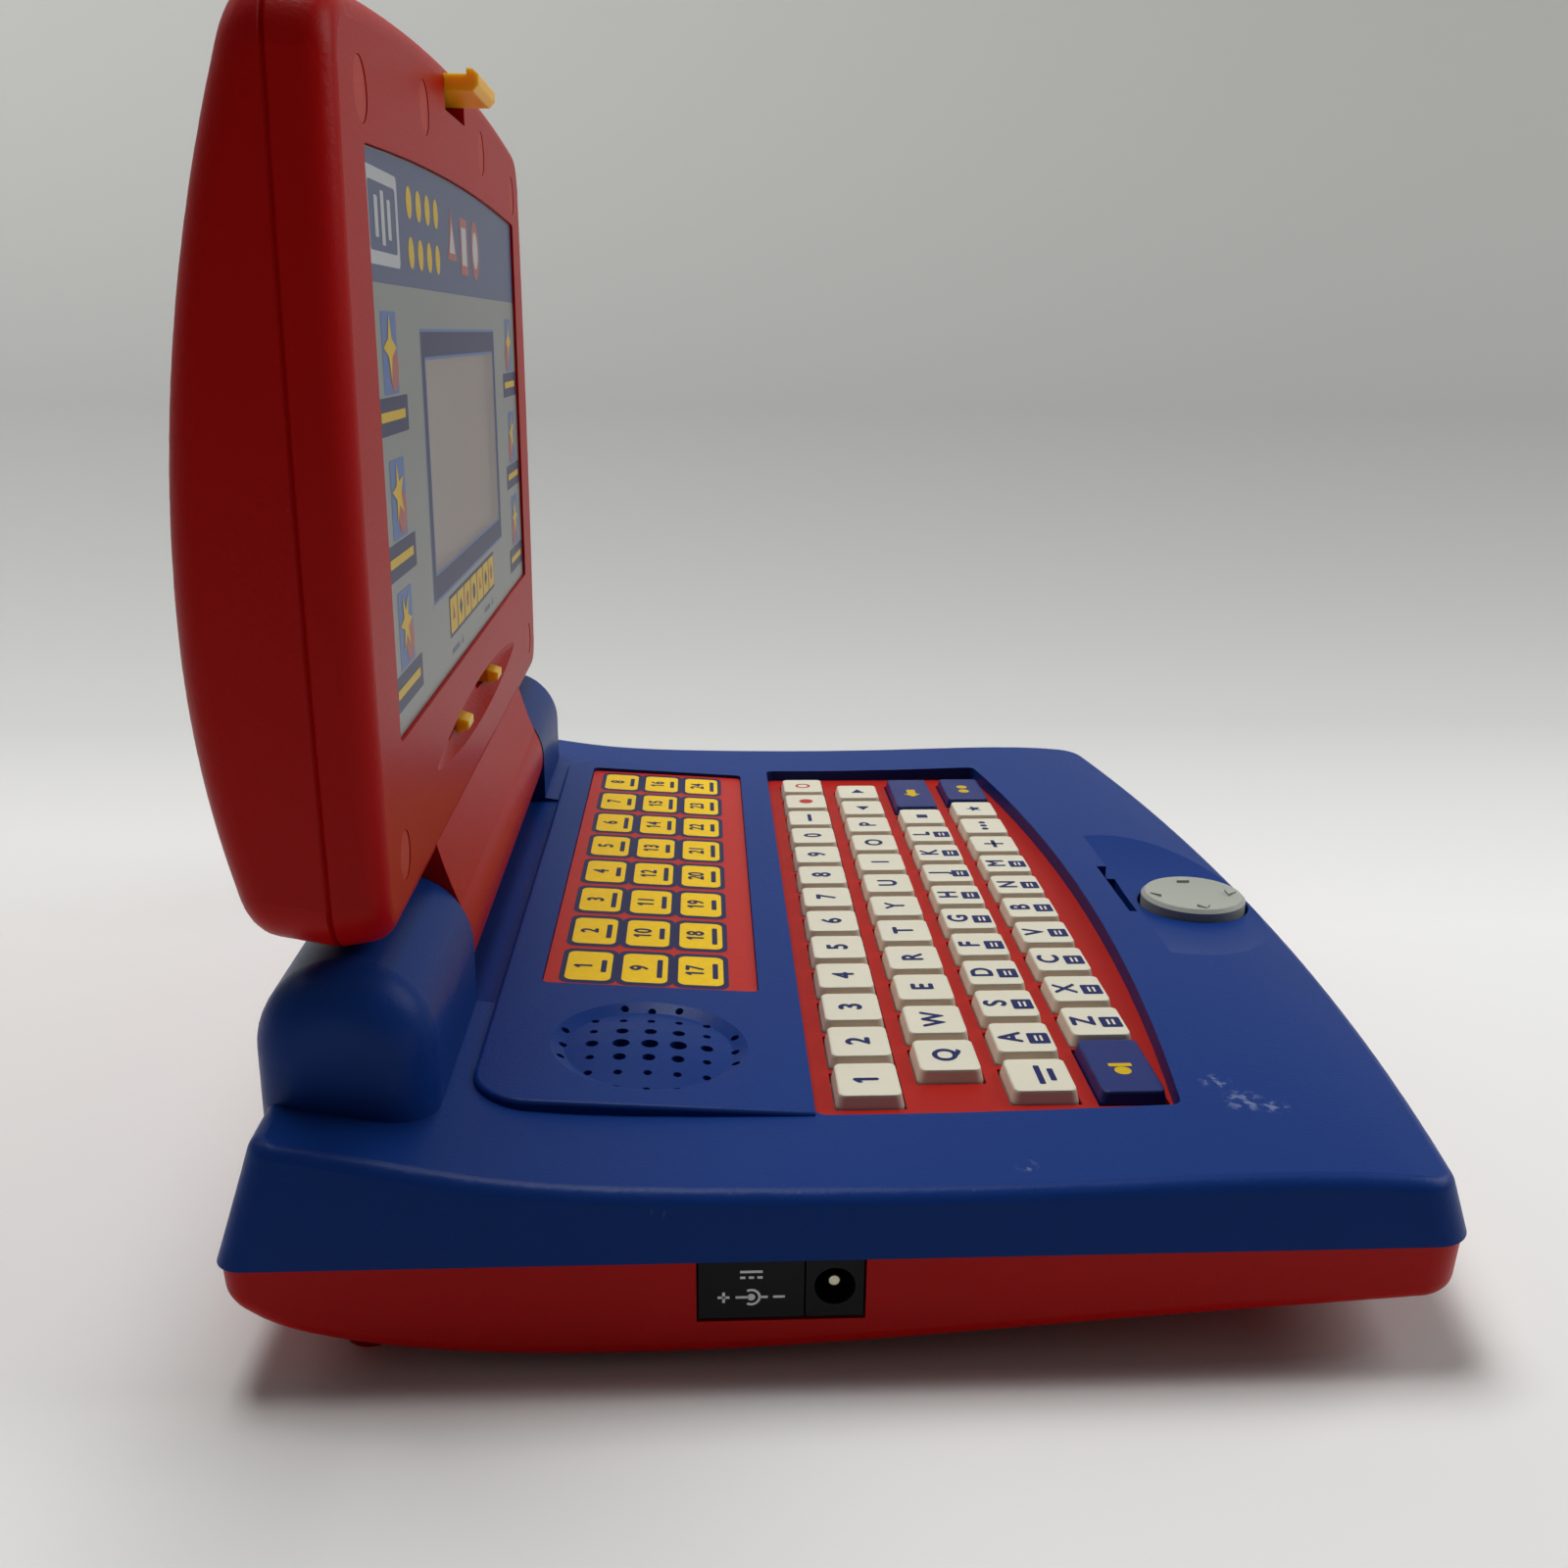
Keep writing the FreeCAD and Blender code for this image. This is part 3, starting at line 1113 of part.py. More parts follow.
def display_wire(y, inset):
    hx = DISPLAY_HALF_WIDTH - inset
    hz = DISPLAY_HALF_HEIGHT - inset
    corners = [V(sx * hx, y, DISPLAY_Z + sz * hz) for sx, sz in ((-1, -1), (1, -1), (1, 1), (-1, 1))]
    return Part.Wire(polygon(corners))


def display_glass():
    """Display panel closing the back of the tray."""
    y = LID_FRONT_Y + LENS_SUNK + LENS_THICKNESS + TRAY_DEPTH
    half_x = DISPLAY_HALF_WIDTH + GLASS_MARGIN
    half_z = DISPLAY_HALF_HEIGHT + GLASS_MARGIN
    return box(-half_x, half_x, y, y + GLASS_THICKNESS, DISPLAY_Z - half_z, DISPLAY_Z + half_z)


def screw_plugs():
    """Flush round plugs that hide the lid screws."""
    y = LID_FRONT_Y + PLUG_SUNK
    return group([cylinder_y(radius, x, y, y + PLUG_THICKNESS, z) for x, z, radius in lid_screw_spots()])


def lid_screws():
    seat = LID_FRONT_Y + LID_SCREW_SEAT
    screws = []
    for x, z, radius in lid_screw_spots():
        head = cylinder_y(SCREW_HEAD_RADIUS, x, seat - SCREW_HEAD_HEIGHT, seat, z)
        screws.append(joined([head, cylinder_y(SCREW_RADIUS, x, seat, LID_SEAM_Y + LID_SCREW_GRIP, z)]))
    return group(screws)


def latch_tail_y():
    return BEZEL_BACK_Y + LATCH_CLEARANCE + LATCH_TAIL


def latch_shelf_z():
    return LATCH_TOP_Z - LATCH_THICKNESS - LATCH_TRAVEL - SPRING_BOW - 2 * SPRING_THICKNESS


def latch():
    """Yellow catch: a tongue through the bezel with an upturned lip, on a tail inside the lid."""
    low = LATCH_TOP_Z - LATCH_THICKNESS
    front = LID_FRONT_Y - LATCH_REACH
    half = LATCH_WIDTH / 2
    lip_top = LATCH_TOP_Z + LATCH_LIP
    slope = LATCH_NOSE_BEVEL
    points = [
        V(-half, front + slope, low), V(-half, latch_tail_y(), low), V(-half, latch_tail_y(), LATCH_TOP_Z),
        V(-half, front + LATCH_LIP_THICKNESS, LATCH_TOP_Z), V(-half, front + LATCH_LIP_THICKNESS, lip_top),
        V(-half, front + slope, lip_top), V(-half, front, LATCH_TOP_Z), V(-half, front, low + slope),
    ]
    return prism(polygon(points), V(LATCH_WIDTH, 0, 0))


def latch_spring():
    """Bowed leaf spring between the latch and its shelf."""
    low = latch_shelf_z()
    high = low + LATCH_TRAVEL + SPRING_BOW
    half = SPRING_LENGTH / 2
    y = BEZEL_BACK_Y + LATCH_CLEARANCE + (LATCH_TAIL - SPRING_WIDTH) / 2
    t = SPRING_THICKNESS
    ring = [
        arc(V(-half, y, low), V(0, y, high), V(half, y, low)),
        line(V(half, y, low), V(half - t, y, low)),
        arc(V(half - t, y, low), V(0, y, high - t), V(-half + t, y, low)),
        line(V(-half + t, y, low), V(-half, y, low)),
    ]
    return prism(ring, V(0, SPRING_WIDTH, 0))


def slide_knob(x):
    """Yellow slide knob: ridged head in the groove, stem through the slot, flange behind."""
    front = LID_FRONT_Y - KNOB_PROUD
    back = BEZEL_BACK_Y + SCALLOP_BACKING + KNOB_SLOT_CLEARANCE
    hx = KNOB_WIDTH / 2
    root = KNOB_ROOT_HEIGHT / 2
    tip = KNOB_TIP_HEIGHT / 2
    head_back = LID_FRONT_Y + KNOB_HEAD_DEPTH
    points = [
        V(x - hx, head_back, KNOB_Z - root),
        V(x - hx, front, KNOB_Z - tip),
        V(x - hx, front, KNOB_Z + tip),
        V(x - hx, head_back, KNOB_Z + root),
    ]
    head = prism(polygon(points), V(KNOB_WIDTH, 0, 0))
    stem = box(x - KNOB_STEM_WIDTH / 2, x + KNOB_STEM_WIDTH / 2, head_back, back,
               KNOB_Z - KNOB_STEM_HEIGHT / 2, KNOB_Z + KNOB_STEM_HEIGHT / 2)
    fx = KNOB_STEM_WIDTH / 2 + KNOB_FLANGE_GROWTH
    fz = KNOB_STEM_HEIGHT / 2 + KNOB_FLANGE_GROWTH
    flange = box(x - fx, x + fx, back, back + KNOB_FLANGE_THICKNESS, KNOB_Z - fz, KNOB_Z + fz)
    return joined([head, stem, flange])


def control_board():
    """Small board behind the slide knobs with a slide control for each."""
    y = BEZEL_BACK_Y + SCALLOP_BACKING + KNOB_SLOT_CLEARANCE + KNOB_FLANGE_THICKNESS + CONTROL_GAP
    half_z = CONTROL_BOARD_HEIGHT / 2
    board = box(-CONTROL_BOARD_HALF_WIDTH, CONTROL_BOARD_HALF_WIDTH, y, y + CONTROL_BOARD_THICKNESS,
                KNOB_Z - half_z, KNOB_Z + half_z)
    pot_x = POT_LENGTH / 2
    pot_z = POT_HEIGHT / 2
    pots = [box(x - pot_x, x + pot_x, y - POT_DEPTH, y, KNOB_Z - pot_z, KNOB_Z + pot_z)
            for x in (-KNOB_X, KNOB_X)]
    return joined([board] + pots)


def all_keys():
    """Key nodes: one for each letter and wide key, one group of digits and one of function keys."""
    groups = {}
    for name, x, y, width in key_places():
        groups.setdefault(name, []).append(key_solid(x, y, width))
    nodes = {}
    for name, solids in groups.items():
        if len(solids) == 1:
            nodes["key_" + name] = solids[0]
        else:
            nodes[name + "_keys"] = group(solids)
    return nodes


def all_nodes():
    nodes = {
        "base_bottom_shell": base_bottom_shell(),
        "base_top_shell": base_top_shell(),
        "keyboard_plate": keyboard_plate(),
        "key_mat": key_mat(),
        "main_board": main_board(),
        "activity_overlay": activity_overlay(),
        "loudspeaker": loudspeaker(),
        "dc_jack": dc_jack(),
        "jack_plate": jack_plate(),
        "battery_door": battery_door(),
        "battery_contacts": battery_contacts(),
        "case_screws": case_screws(),
        "hinge_pins": hinge_pins(),
        "cursor_pivot": cursor_pivot(),
        "cursor_pad": cursor_pad(),
        "lid_bezel": lid_bezel(),
        "lid_back_cover": lid_back_cover(),
        "screen_lens": screen_lens(),
        "display_tray": display_tray(),
        "display_glass": display_glass(),
        "screw_plugs": screw_plugs(),
        "lid_screws": lid_screws(),
        "latch": latch(),
        "latch_spring": latch_spring(),
        "volume_knob": slide_knob(-KNOB_X),
        "contrast_knob": slide_knob(KNOB_X),
        "control_board": control_board(),
    }
    nodes.update(all_keys())
    return nodes


os.makedirs("parts", exist_ok=True)
for node_name, node_shape in all_nodes().items():
    node_shape.exportStep("parts/" + node_name + ".step")
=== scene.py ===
import json
import math

import bmesh
import bpy
from mathutils import Matrix, Vector


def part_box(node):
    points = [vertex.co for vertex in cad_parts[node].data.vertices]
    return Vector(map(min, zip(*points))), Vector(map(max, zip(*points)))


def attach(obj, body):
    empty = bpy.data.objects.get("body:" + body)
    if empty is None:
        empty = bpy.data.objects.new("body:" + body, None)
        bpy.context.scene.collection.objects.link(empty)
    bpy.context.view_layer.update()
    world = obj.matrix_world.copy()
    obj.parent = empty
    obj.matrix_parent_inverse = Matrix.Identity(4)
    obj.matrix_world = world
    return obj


bl_info = {
    "name": "Toy laptop computer",
    "version": (1, 0, 0),
    "blender": (4, 5, 0),
    "location": "View3D > Sidebar > Toy laptop",
    "description": "Finishes and prints for a clamshell toy laptop with a small display",
    "category": "Object",
}

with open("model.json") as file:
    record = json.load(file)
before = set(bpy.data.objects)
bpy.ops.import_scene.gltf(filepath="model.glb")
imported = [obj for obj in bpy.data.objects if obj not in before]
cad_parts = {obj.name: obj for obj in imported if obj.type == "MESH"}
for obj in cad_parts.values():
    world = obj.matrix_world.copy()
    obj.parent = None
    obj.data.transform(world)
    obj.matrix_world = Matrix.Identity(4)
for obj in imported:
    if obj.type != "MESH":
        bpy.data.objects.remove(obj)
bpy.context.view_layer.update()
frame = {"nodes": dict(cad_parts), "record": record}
NODES = frame["nodes"]
MM = 0.001
X_AXIS = Vector((1, 0, 0))
Y_AXIS = Vector((0, 1, 0))
Z_AXIS = Vector((0, 0, 1))

# Camera of the photograph, in the frame's metres and in degrees
CAMERA_PLACE = Vector((-0.3305, 0.02595, 0.1532))
CAMERA_PITCH = 16.357
CAMERA_YAW = 3.078
CAMERA_ROLL = -0.574
CAMERA_LENS_MM = 35.27
CAMERA_SENSOR_MM = 36.0
CAMERA_NEAR = 0.01

LETTER_ROWS = ("qwertyuiop", "asdfghjkl", "zxcvbnm")
DIGITS = "1234567890"

# Share of the usual highlight that a satin mould texture keeps, and plastic that fingers have polished
SATIN_SPECULAR = 0.09
POLISHED_SPECULAR = 0.28
SATIN_ROUGHNESS = 0.36
# Depth of the satin mould texture
GRAIN_DEPTH = 0.08 * MM
# Radius to which fingers have worn the edges of keys, latch and knobs
WORN_EDGE = 0.8 * MM
# Depth in millimetres to which light enters the yellow plastic of the latch and the slide knobs
YELLOW_GLOW_MM = 5.0
# Share of the view into the display that the painted reflection over the window covers
PAINTED_SHEEN_COVER = 0.62
# Strength of the world as a light, and as the room that is seen past the paper's edges
AIR_LIGHT = 0.08
AIR_SHOWN = 0.45

# Prints are drawn in millimetres. One lies this far above what is under it
PRINT_LAYER = 0.03
# Bold type is close copies of a letter: their shift as a share of its size, and the step between them
BOLD_SHARE = 0.035
BOLD_LAYER = 0.004
# Flag of the figure one, whose typeface has only a bar: its reach and height as shares of the type size
FLAG_REACH = 0.13
FLAG_HEIGHT = 0.11
# Sides of a drawn circle, of one in the screen print, and of the smallest ones
ROUND = 24
PRINT_ROUND = 20
SMALL_ROUND = 16

# Rubbed spots on the upper case: place and radius in millimetres
RUBS = (
    ((-95.9, -61.3, 30.0), 3.2),
    ((-103.0, -64.0, 30.0), 4.4),
    ((-104.9, -68.4, 30.0), 3.0),
    ((-121.0, -23.6, 30.0), 2.2),
    ((-109.6, 23.7, 34.6), 2.0),
    ((-108.6, 18.6, 34.6), 3.4),
    ((-128.0, 33.2, 27.3), 1.4),
)


def linear(code):
    """Linear RGBA of an sRGB hex colour."""
    channels = [int(code[i:i + 2], 16) / 255 for i in (1, 3, 5)]
    flat = [c / 12.92 if c <= 0.04045 else ((c + 0.055) / 1.055) ** 2.4 for c in channels]
    return (*flat, 1.0)


def colour_setting(name, description, code):
    return bpy.props.FloatVectorProperty(
        name=name, description=description, subtype="COLOR", size=4, min=0.0, max=1.0,
        default=linear(code))


def length_setting(name, description, millimetres):
    return bpy.props.FloatProperty(
        name=name, description=description, subtype="DISTANCE", unit="LENGTH",
        default=millimetres * MM)


class CaseSettings(bpy.types.PropertyGroup):
    red: colour_setting("Red plastic", "Lid, lower case and hinge barrel", "#a80705")
    blue: colour_setting("Blue plastic", "Upper case with deck and palm rest", "#10347a")
    plate: colour_setting("Plate red", "Plate between the keys", "#aa211a")
    plug: colour_setting("Plug red", "Round plugs over the lid screws", "#b83c34")
    scuff: colour_setting("Scuff", "Pale marks where the plastic was rubbed", "#9aa4c4")
    grain: length_setting("Grain", "Width of one grain of the satin mould texture", 0.6)


class KeySettings(bpy.types.PropertyGroup):
    ivory: colour_setting("Key ivory", "Letter, digit and function keys", "#dedbc6")
    blue: colour_setting("Wide key blue", "The three wide keys", "#12266c")
    ink: colour_setting("Legend ink", "Letters and digits on the keys", "#15205c")
    red_ink: colour_setting("Red ink", "Marks on the two power keys", "#b5342c")
    letter_height: length_setting("Letter size", "Type size of a key's letter", 6.0)
    note_width: length_setting("Note width", "Width of the small square on the lower letter rows", 4.4)


class PrintSettings(bpy.types.PropertyGroup):
    sheet_red: colour_setting("Sheet red", "Ground of the activity sheet", "#b8261e")
    yellow: colour_setting("Print yellow", "Field of an activity button", "#f4cb12")
    navy: colour_setting("Print navy", "Outlines, labels and digits", "#1b2150")
    panel: colour_setting("Panel grey", "Ground of the screen print", "#7f8381")
    # Painted reflection: a pale colour laid over the display window stands in for the sheen on the lens
    painted_sheen: colour_setting("Window haze", "Dull film over the display window", "#bab0ad")
    band: colour_setting("Header blue", "Band across the top of the screen print", "#4a5578")
    sky: colour_setting("Edge blue", "Thin line round the display", "#5570a6")
    white: colour_setting("Print white", "Pale shapes of the screen print", "#b9bcc0")
    red: colour_setting("Print red", "Warm shapes of the screen print", "#a85a52")
    button_width: length_setting("Button width", "Yellow field of an activity button", 14.2)
    button_height: length_setting("Button height", "Yellow field of an activity button", 9.0)
    button_border: length_setting("Button border", "Navy border round an activity button", 1.5)


class SmallPartSettings(bpy.types.PropertyGroup):
    yellow: colour_setting("Yellow plastic", "Latch and slide knobs", "#f4b40c")
    grey: colour_setting("Grey plastic", "Cursor pad", "#a9ada4")
    black: colour_setting("Black plastic", "Jack and the plate beside it", "#17171a")


class StageSettings(bpy.types.PropertyGroup):
    floor: colour_setting("Floor paper", "Paper under the object", "#f0f0ee")
    # The far floor, wall and upper wall greys are painted shade, standing in for the light falling off
    # behind the object
    painted_shade_far_floor: colour_setting("Far floor paper", "Paper behind the object", "#c8c8c6")
    wall: colour_setting("Wall paper", "Paper low on the wall", "#a1a19f")
    painted_shade_wall_top: colour_setting("Upper wall paper", "Paper high on the wall", "#b2b2af")
    air: colour_setting("Air", "Pale room past the paper's edges", "#e2e2e0")
    floor_reach: length_setting("Floor reach", "Flat floor behind the object before it curves up", 350.0)
    sweep_radius: length_setting("Sweep radius", "Radius of the curve between floor and wall", 700.0)
    wall_height: length_setting("Wall height", "Top of the wall above the floor", 2200.0)
    half_width: length_setting("Half width", "Half of the backdrop's width", 1300.0)


SETTINGS = {
    "laptop_case": CaseSettings,
    "laptop_keys": KeySettings,
    "laptop_prints": PrintSettings,
    "laptop_small": SmallPartSettings,
    "laptop_stage": StageSettings,
}


def feed(tree, made, inputs):
    """Sets a node's inputs: each is a value, or another node's output to link."""
    for socket, source in inputs.items():
        if isinstance(source, bpy.types.NodeSocket):
            tree.links.new(source, made.inputs[socket])
        else:
            made.inputs[socket].default_value = source


def node(tree, kind, inputs=None, **settings):
    """Adds a node with its settings and inputs."""
    made = tree.nodes.new(kind)
    for name, value in settings.items():
        setattr(made, name, value)
    feed(tree, made, inputs or {})
    return made


def new_material(name):
    """Node material with only its shader and output, and the place on the object for its textures."""
    material = bpy.data.materials.new(name)
    material.use_nodes = True
    tree = material.node_tree
    tree.nodes.clear()
    shader = node(tree, "ShaderNodeBsdfPrincipled")
    node(tree, "ShaderNodeOutputMaterial", {"Surface": shader.outputs["BSDF"]})
    place = node(tree, "ShaderNodeTexCoord").outputs["Object"]
    return material, tree, shader, place


def blend(tree, low, high, factor):
    """Colour between two colours, or links, by a factor."""
    return node(tree, "ShaderNodeMix", {0: factor, 6: low, 7: high}, data_type="RGBA").outputs[2]


def noise(tree, place, width_mm, detail, roughness=0.5):
    """Noise whose cells are that many millimetres wide."""
    inputs = {"Vector": place, "Scale": 1.0 / (width_mm * MM), "Detail": detail, "Roughness": roughness}
    return node(tree, "ShaderNodeTexNoise", inputs).outputs["Fac"]


def ranged(tree, value, low, high, start=0.0, end=1.0):
    """Value carried from the range between start and end into the one between low and high."""
    inputs = {"Value": value, "From Min": start, "From Max": end, "To Min": low, "To Max": high}
    return node(tree, "ShaderNodeMapRange", inputs).outputs["Result"]


def calculated(tree, operation, *terms, **settings):
    """Outcome of a math node on its terms."""
    inputs = dict(enumerate(terms))
    return node(tree, "ShaderNodeMath", inputs, operation=operation, **settings).outputs["Value"]


def shade_of(colour, factor):
    """Lighter or darker copy of a colour."""
    return (*(min(1.0, c * factor) for c in colour[:3]), 1.0)


def drifting(tree, colour, factor, darkest, lightest):
    """Colour that drifts with a factor between a darker and a lighter shade of itself."""
    return blend(tree, shade_of(colour, darkest), shade_of(colour, lightest), factor)


# Injection-moulded ABS with a spark-eroded mould texture: broad soft highlights over a grain that
# only shows at grazing light, tone drifting by a few percent, and hairline scratches from use.
# The real grain is about 0.1 mm; it is drawn wider so that it shows in the picture.
def moulded_abs(name, colour, scuff, grain_mm, roughness, wear, rubs=()):
    material, tree, shader, place = new_material(name)
    clouds = noise(tree, place, width_mm=60, detail=3.0)
    tone = drifting(tree, colour, clouds, darkest=0.92, lightest=1.08)
    stretch = node(tree, "ShaderNodeMapping",
                   {"Vector": place, "Rotation": (0.3, 0.2, 0.7), "Scale": (1.0, 18.0, 6.0)})
    hairs = noise(tree, stretch.outputs["Vector"], width_mm=30, detail=5.0, roughness=0.7)
    patches = noise(tree, place, width_mm=45, detail=2.0)
    worn = calculated(tree, "MULTIPLY",
                      ranged(tree, hairs, 0.0, wear, start=0.70, end=0.76),
                      ranged(tree, patches, 0.0, 1.0, start=0.52, end=0.62))
    for spot, radius in rubs:
        worn = calculated(tree, "MAXIMUM", worn, rub_mark(tree, place, spot, radius))
    grain = noise(tree, place, width_mm=grain_mm, detail=2.0)
    bump = node(tree, "ShaderNodeBump", {"Height": grain, "Strength": 0.5, "Distance": GRAIN_DEPTH})
    feed(tree, shader, {
        "Base Color": blend(tree, tone, scuff, worn),
        "Roughness": ranged(tree, grain, roughness - 0.05, roughness + 0.07),
        "Normal": bump.outputs["Normal"],
        "IOR": 1.53,
        "Specular IOR Level": SATIN_SPECULAR,
    })
    return material


def rub_mark(tree, place, spot, radius):
    """Wear factor of a small broken-up rub mark about one spot."""
    away = node(tree, "ShaderNodeVectorMath", {0: place, 1: spot}, operation="DISTANCE").outputs["Value"]
    flecks = noise(tree, place, width_mm=1.6, detail=4.0)
    return calculated(tree, "MULTIPLY",
                      ranged(tree, away, 1.0, 0.0, start=0.3 * radius, end=radius),
                      ranged(tree, flecks, 0.0, 0.45, start=0.5, end=0.62))


# Pad-printed or screen-printed ink: flat colour with a slightly uneven film and a soft sheen.
def printing_ink(name, colour, roughness=0.42):
    material, tree, shader, place = new_material(name)
    film = noise(tree, place, width_mm=1.5, detail=4.0)
    feed(tree, shader, {
        "Base Color": drifting(tree, colour, film, darkest=0.9, lightest=1.08),
        "Roughness": roughness,
        "IOR": 1.5,
        "Specular IOR Level": 2 * SATIN_SPECULAR,
    })
    return material


# Moulded ABS polished by fingers: a tighter highlight than the case, with faint smudges in its gloss.
# A small piece of a clear colour takes in some light and glows from within, to a depth in millimetres.
def polished_abs(name, colour, roughness, glow_mm=0.0):
    material, tree, shader, place = new_material(name)
    smudge = noise(tree, place, width_mm=9, detail=4.0)
    worn_edge = node(tree, "ShaderNodeBevel", {"Radius": WORN_EDGE}, samples=6)
    feed(tree, shader, {
        "Base Color": drifting(tree, colour, smudge, darkest=0.95, lightest=1.04),
        "Roughness": ranged(tree, smudge, roughness - 0.06, roughness + 0.1),
        "Normal": worn_edge.outputs["Normal"],
        "IOR": 1.5,
        "Specular IOR Level": POLISHED_SPECULAR,
    })
    if glow_mm:
        feed(tree, shader, {
            "Subsurface Weight": 0.8,
            "Subsurface Radius": (1.0, 0.6, 0.15),
            "Subsurface Scale": glow_mm * MM,
        })
    return material


# Zinc-plated steel, turned and tumbled: grey metal with fine turning lines in its gloss.
def plated_steel():
    material, tree, shader, place = new_material("Zinc-plated steel, turned")
    turning = noise(tree, place, width_mm=0.6, detail=3.0)
    feed(tree, shader, {
        "Base Color": linear("#b4b6b8"),
        "Roughness": ranged(tree, turning, 0.28, 0.45),
        "Metallic": 1.0,
    })
    return material


# Nickel-plated brass, turned: a warm pale metal, bright where its edge catches the light.
def plated_brass():
    material, tree, shader, place = new_material("Nickel-plated brass, turned")
    turning = noise(tree, place, width_mm=0.4, detail=3.0)
    feed(tree, shader, {
        "Base Color": blend(tree, linear("#a89f8a"), linear("#d2cab6"), turning),
        "Roughness": 0.3,
        "Metallic": 1.0,
    })
    return material


# Clear acrylic screen-printed on its back: the grey print shows under a glossy sheet. The window over the
# display has no print; a pale colour painted over it, part see-through, is painted reflection of the
# sheet's sheen.
def printed_acrylic(panel, painted_sheen, window_low, window_high):
    material, tree, shader, place = new_material("Acrylic sheet, screen printed, window sheen painted")
    middle = (window_low + window_high) / 2
    half = (window_high - window_low) / 2
    axes = node(tree, "ShaderNodeSeparateXYZ", {"Vector": place})
    inside = []
    for axis, index in (("X", 0), ("Z", 2)):
        away = calculated(tree, "SUBTRACT", axes.outputs[axis], middle[index])
        inside.append(calculated(tree, "LESS_THAN", calculated(tree, "ABSOLUTE", away), half[index]))
    window = calculated(tree, "MULTIPLY", *inside)
    film = noise(tree, place, width_mm=25, detail=3.0)
    tone = drifting(tree, panel, film, darkest=0.94, lightest=1.06)
    # The window's base colour and its part cover are painted reflection of the sheet's sheen
    feed(tree, shader, {
        "Base Color": blend(tree, tone, painted_sheen, window),
        "Alpha": ranged(tree, window, 1.0, PAINTED_SHEEN_COVER),
        "Roughness": 0.3,
        "IOR": 1.49,
    })
    return material


# Liquid crystal panel seen unpowered: a pale, faintly uneven film behind smooth glass.
def display_film():
    material, tree, shader, place = new_material("Liquid crystal glass, unpowered")
    clouds = noise(tree, place, width_mm=40, detail=2.0)
    feed(tree, shader, {
        "Base Color": blend(tree, linear("#e2ded7"), linear("#ebe7e0"), clouds),
        "Roughness": 0.2,
    })
    return material


# Background paper: matt, pale under the object, with painted shade that greys it towards the wall as the
# light falls off, and the faintest cloudiness of its pulp in the sheen. The stops are distances behind
# the object.
def paper_with_painted_falloff(stops):
    material, tree, shader, place = new_material("Background paper, matt, painted light falloff")
    depth = node(tree, "ShaderNodeSeparateXYZ", {"Vector": place}).outputs["X"]
    grade = node(tree, "ShaderNodeValToRGB", {"Fac": depth})
    elements = grade.color_ramp.elements
    while len(elements) < len(stops):
        elements.new(0.5)
    for element, (distance, colour) in zip(elements, stops):
        element.position = distance
        element.color = colour
    pulp = noise(tree, place, width_mm=120, detail=3.0)
    feed(tree, shader, {
        "Base Color": grade.outputs["Color"],
        "Roughness": ranged(tree, pulp, 0.8, 0.9),
        "Specular IOR Level": SATIN_SPECULAR,
    })
    return material


def dress(names, material):
    """Gives CAD nodes a material."""
    for name in names:
        mesh = NODES[name].data
        mesh.materials.clear()
        mesh.materials.append(material)


class Sheet:
    """Flat place for prints, in millimetres from its origin along an across and an up direction."""

    def __init__(self, origin, across, up):
        self.origin = Vector(origin)
        self.across = Vector(across).normalized()
        self.up = Vector(up).normalized()
        self.out = self.across.cross(self.up)

    def point(self, u, v, lift):
        return self.origin + (self.across * u + self.up * v + self.out * lift) * MM

    def matrix(self, u, v, lift):
        turn = Matrix((self.across, self.up, self.out)).transposed().to_4x4()
        return Matrix.Translation(self.point(u, v, lift)) @ turn


def rounded(width, height, radius, steps=5):
    """Outline of a rectangle with rounded corners, about the origin."""
    points = []
    for quarter, (sx, sy) in enumerate(((1, 1), (-1, 1), (-1, -1), (1, -1))):
        cx = sx * (width / 2 - radius)
        cy = sy * (height / 2 - radius)
        for i in range(steps + 1):
            angle = math.radians(90 * (quarter + i / steps))
            points.append((cx + radius * math.cos(angle), cy + radius * math.sin(angle)))
    return points


def crisp(width, height, radius=0.3):
    """Outline of a rectangle whose corners are only just rounded, as small print has them."""
    return rounded(width, height, radius, steps=2)


def regular(radius, sides, turn=0.0, inner=None):
    """Outline of a regular polygon, or of a star where an inner radius is given."""
    count = sides if inner is None else 2 * sides
    points = []
    for i in range(count):
        reach = radius if inner is None or i % 2 == 0 else inner
        angle = math.radians(turn) + 2 * math.pi * i / count
        points.append((reach * math.cos(angle), reach * math.sin(angle)))
    return points


def moved(outline, u, v):
    return [(x + u, y + v) for x, y in outline]


def ring(outer, inner):
    """Quads between two outlines with as many points."""
    count = len(outer)
    return [[outer[i], outer[(i + 1) % count], inner[(i + 1) % count], inner[i]] for i in range(count)]


def placed(name, mesh, material, body):
    """Puts a print's mesh into the scene, moving with a body."""
    mesh.materials.append(material)
    piece = bpy.data.objects.new(name, mesh)
    bpy.context.scene.collection.objects.link(piece)
    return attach(piece, body)


def printed(name, outlines, sheet, layer, material, body):
    """One thin print made of flat outlines on a sheet."""
    points = []
    faces = []
    for outline in outlines:
        faces.append(range(len(points), len(points) + len(outline)))
        points += [sheet.point(u, v, layer * PRINT_LAYER) for u, v in outline]
    mesh = bpy.data.meshes.new(name)
    mesh.from_pydata(points, [], faces)
    return placed(name, mesh, material, body)


def one_flag(mesh, size):
    """Corners of the flag at the top left of a leading figure one, for a type size."""
    left = min(vertex.co.x for vertex in mesh.vertices)
    top = max(vertex.co.y for vertex in mesh.vertices)
    tip = left - FLAG_REACH * size
    drop = FLAG_HEIGHT * size
    corners = ((left, top), (tip, top - drop), (tip, top - 2 * drop), (left, top - drop))
    return [Vector((x, y, 0.0)) for x, y in corners]


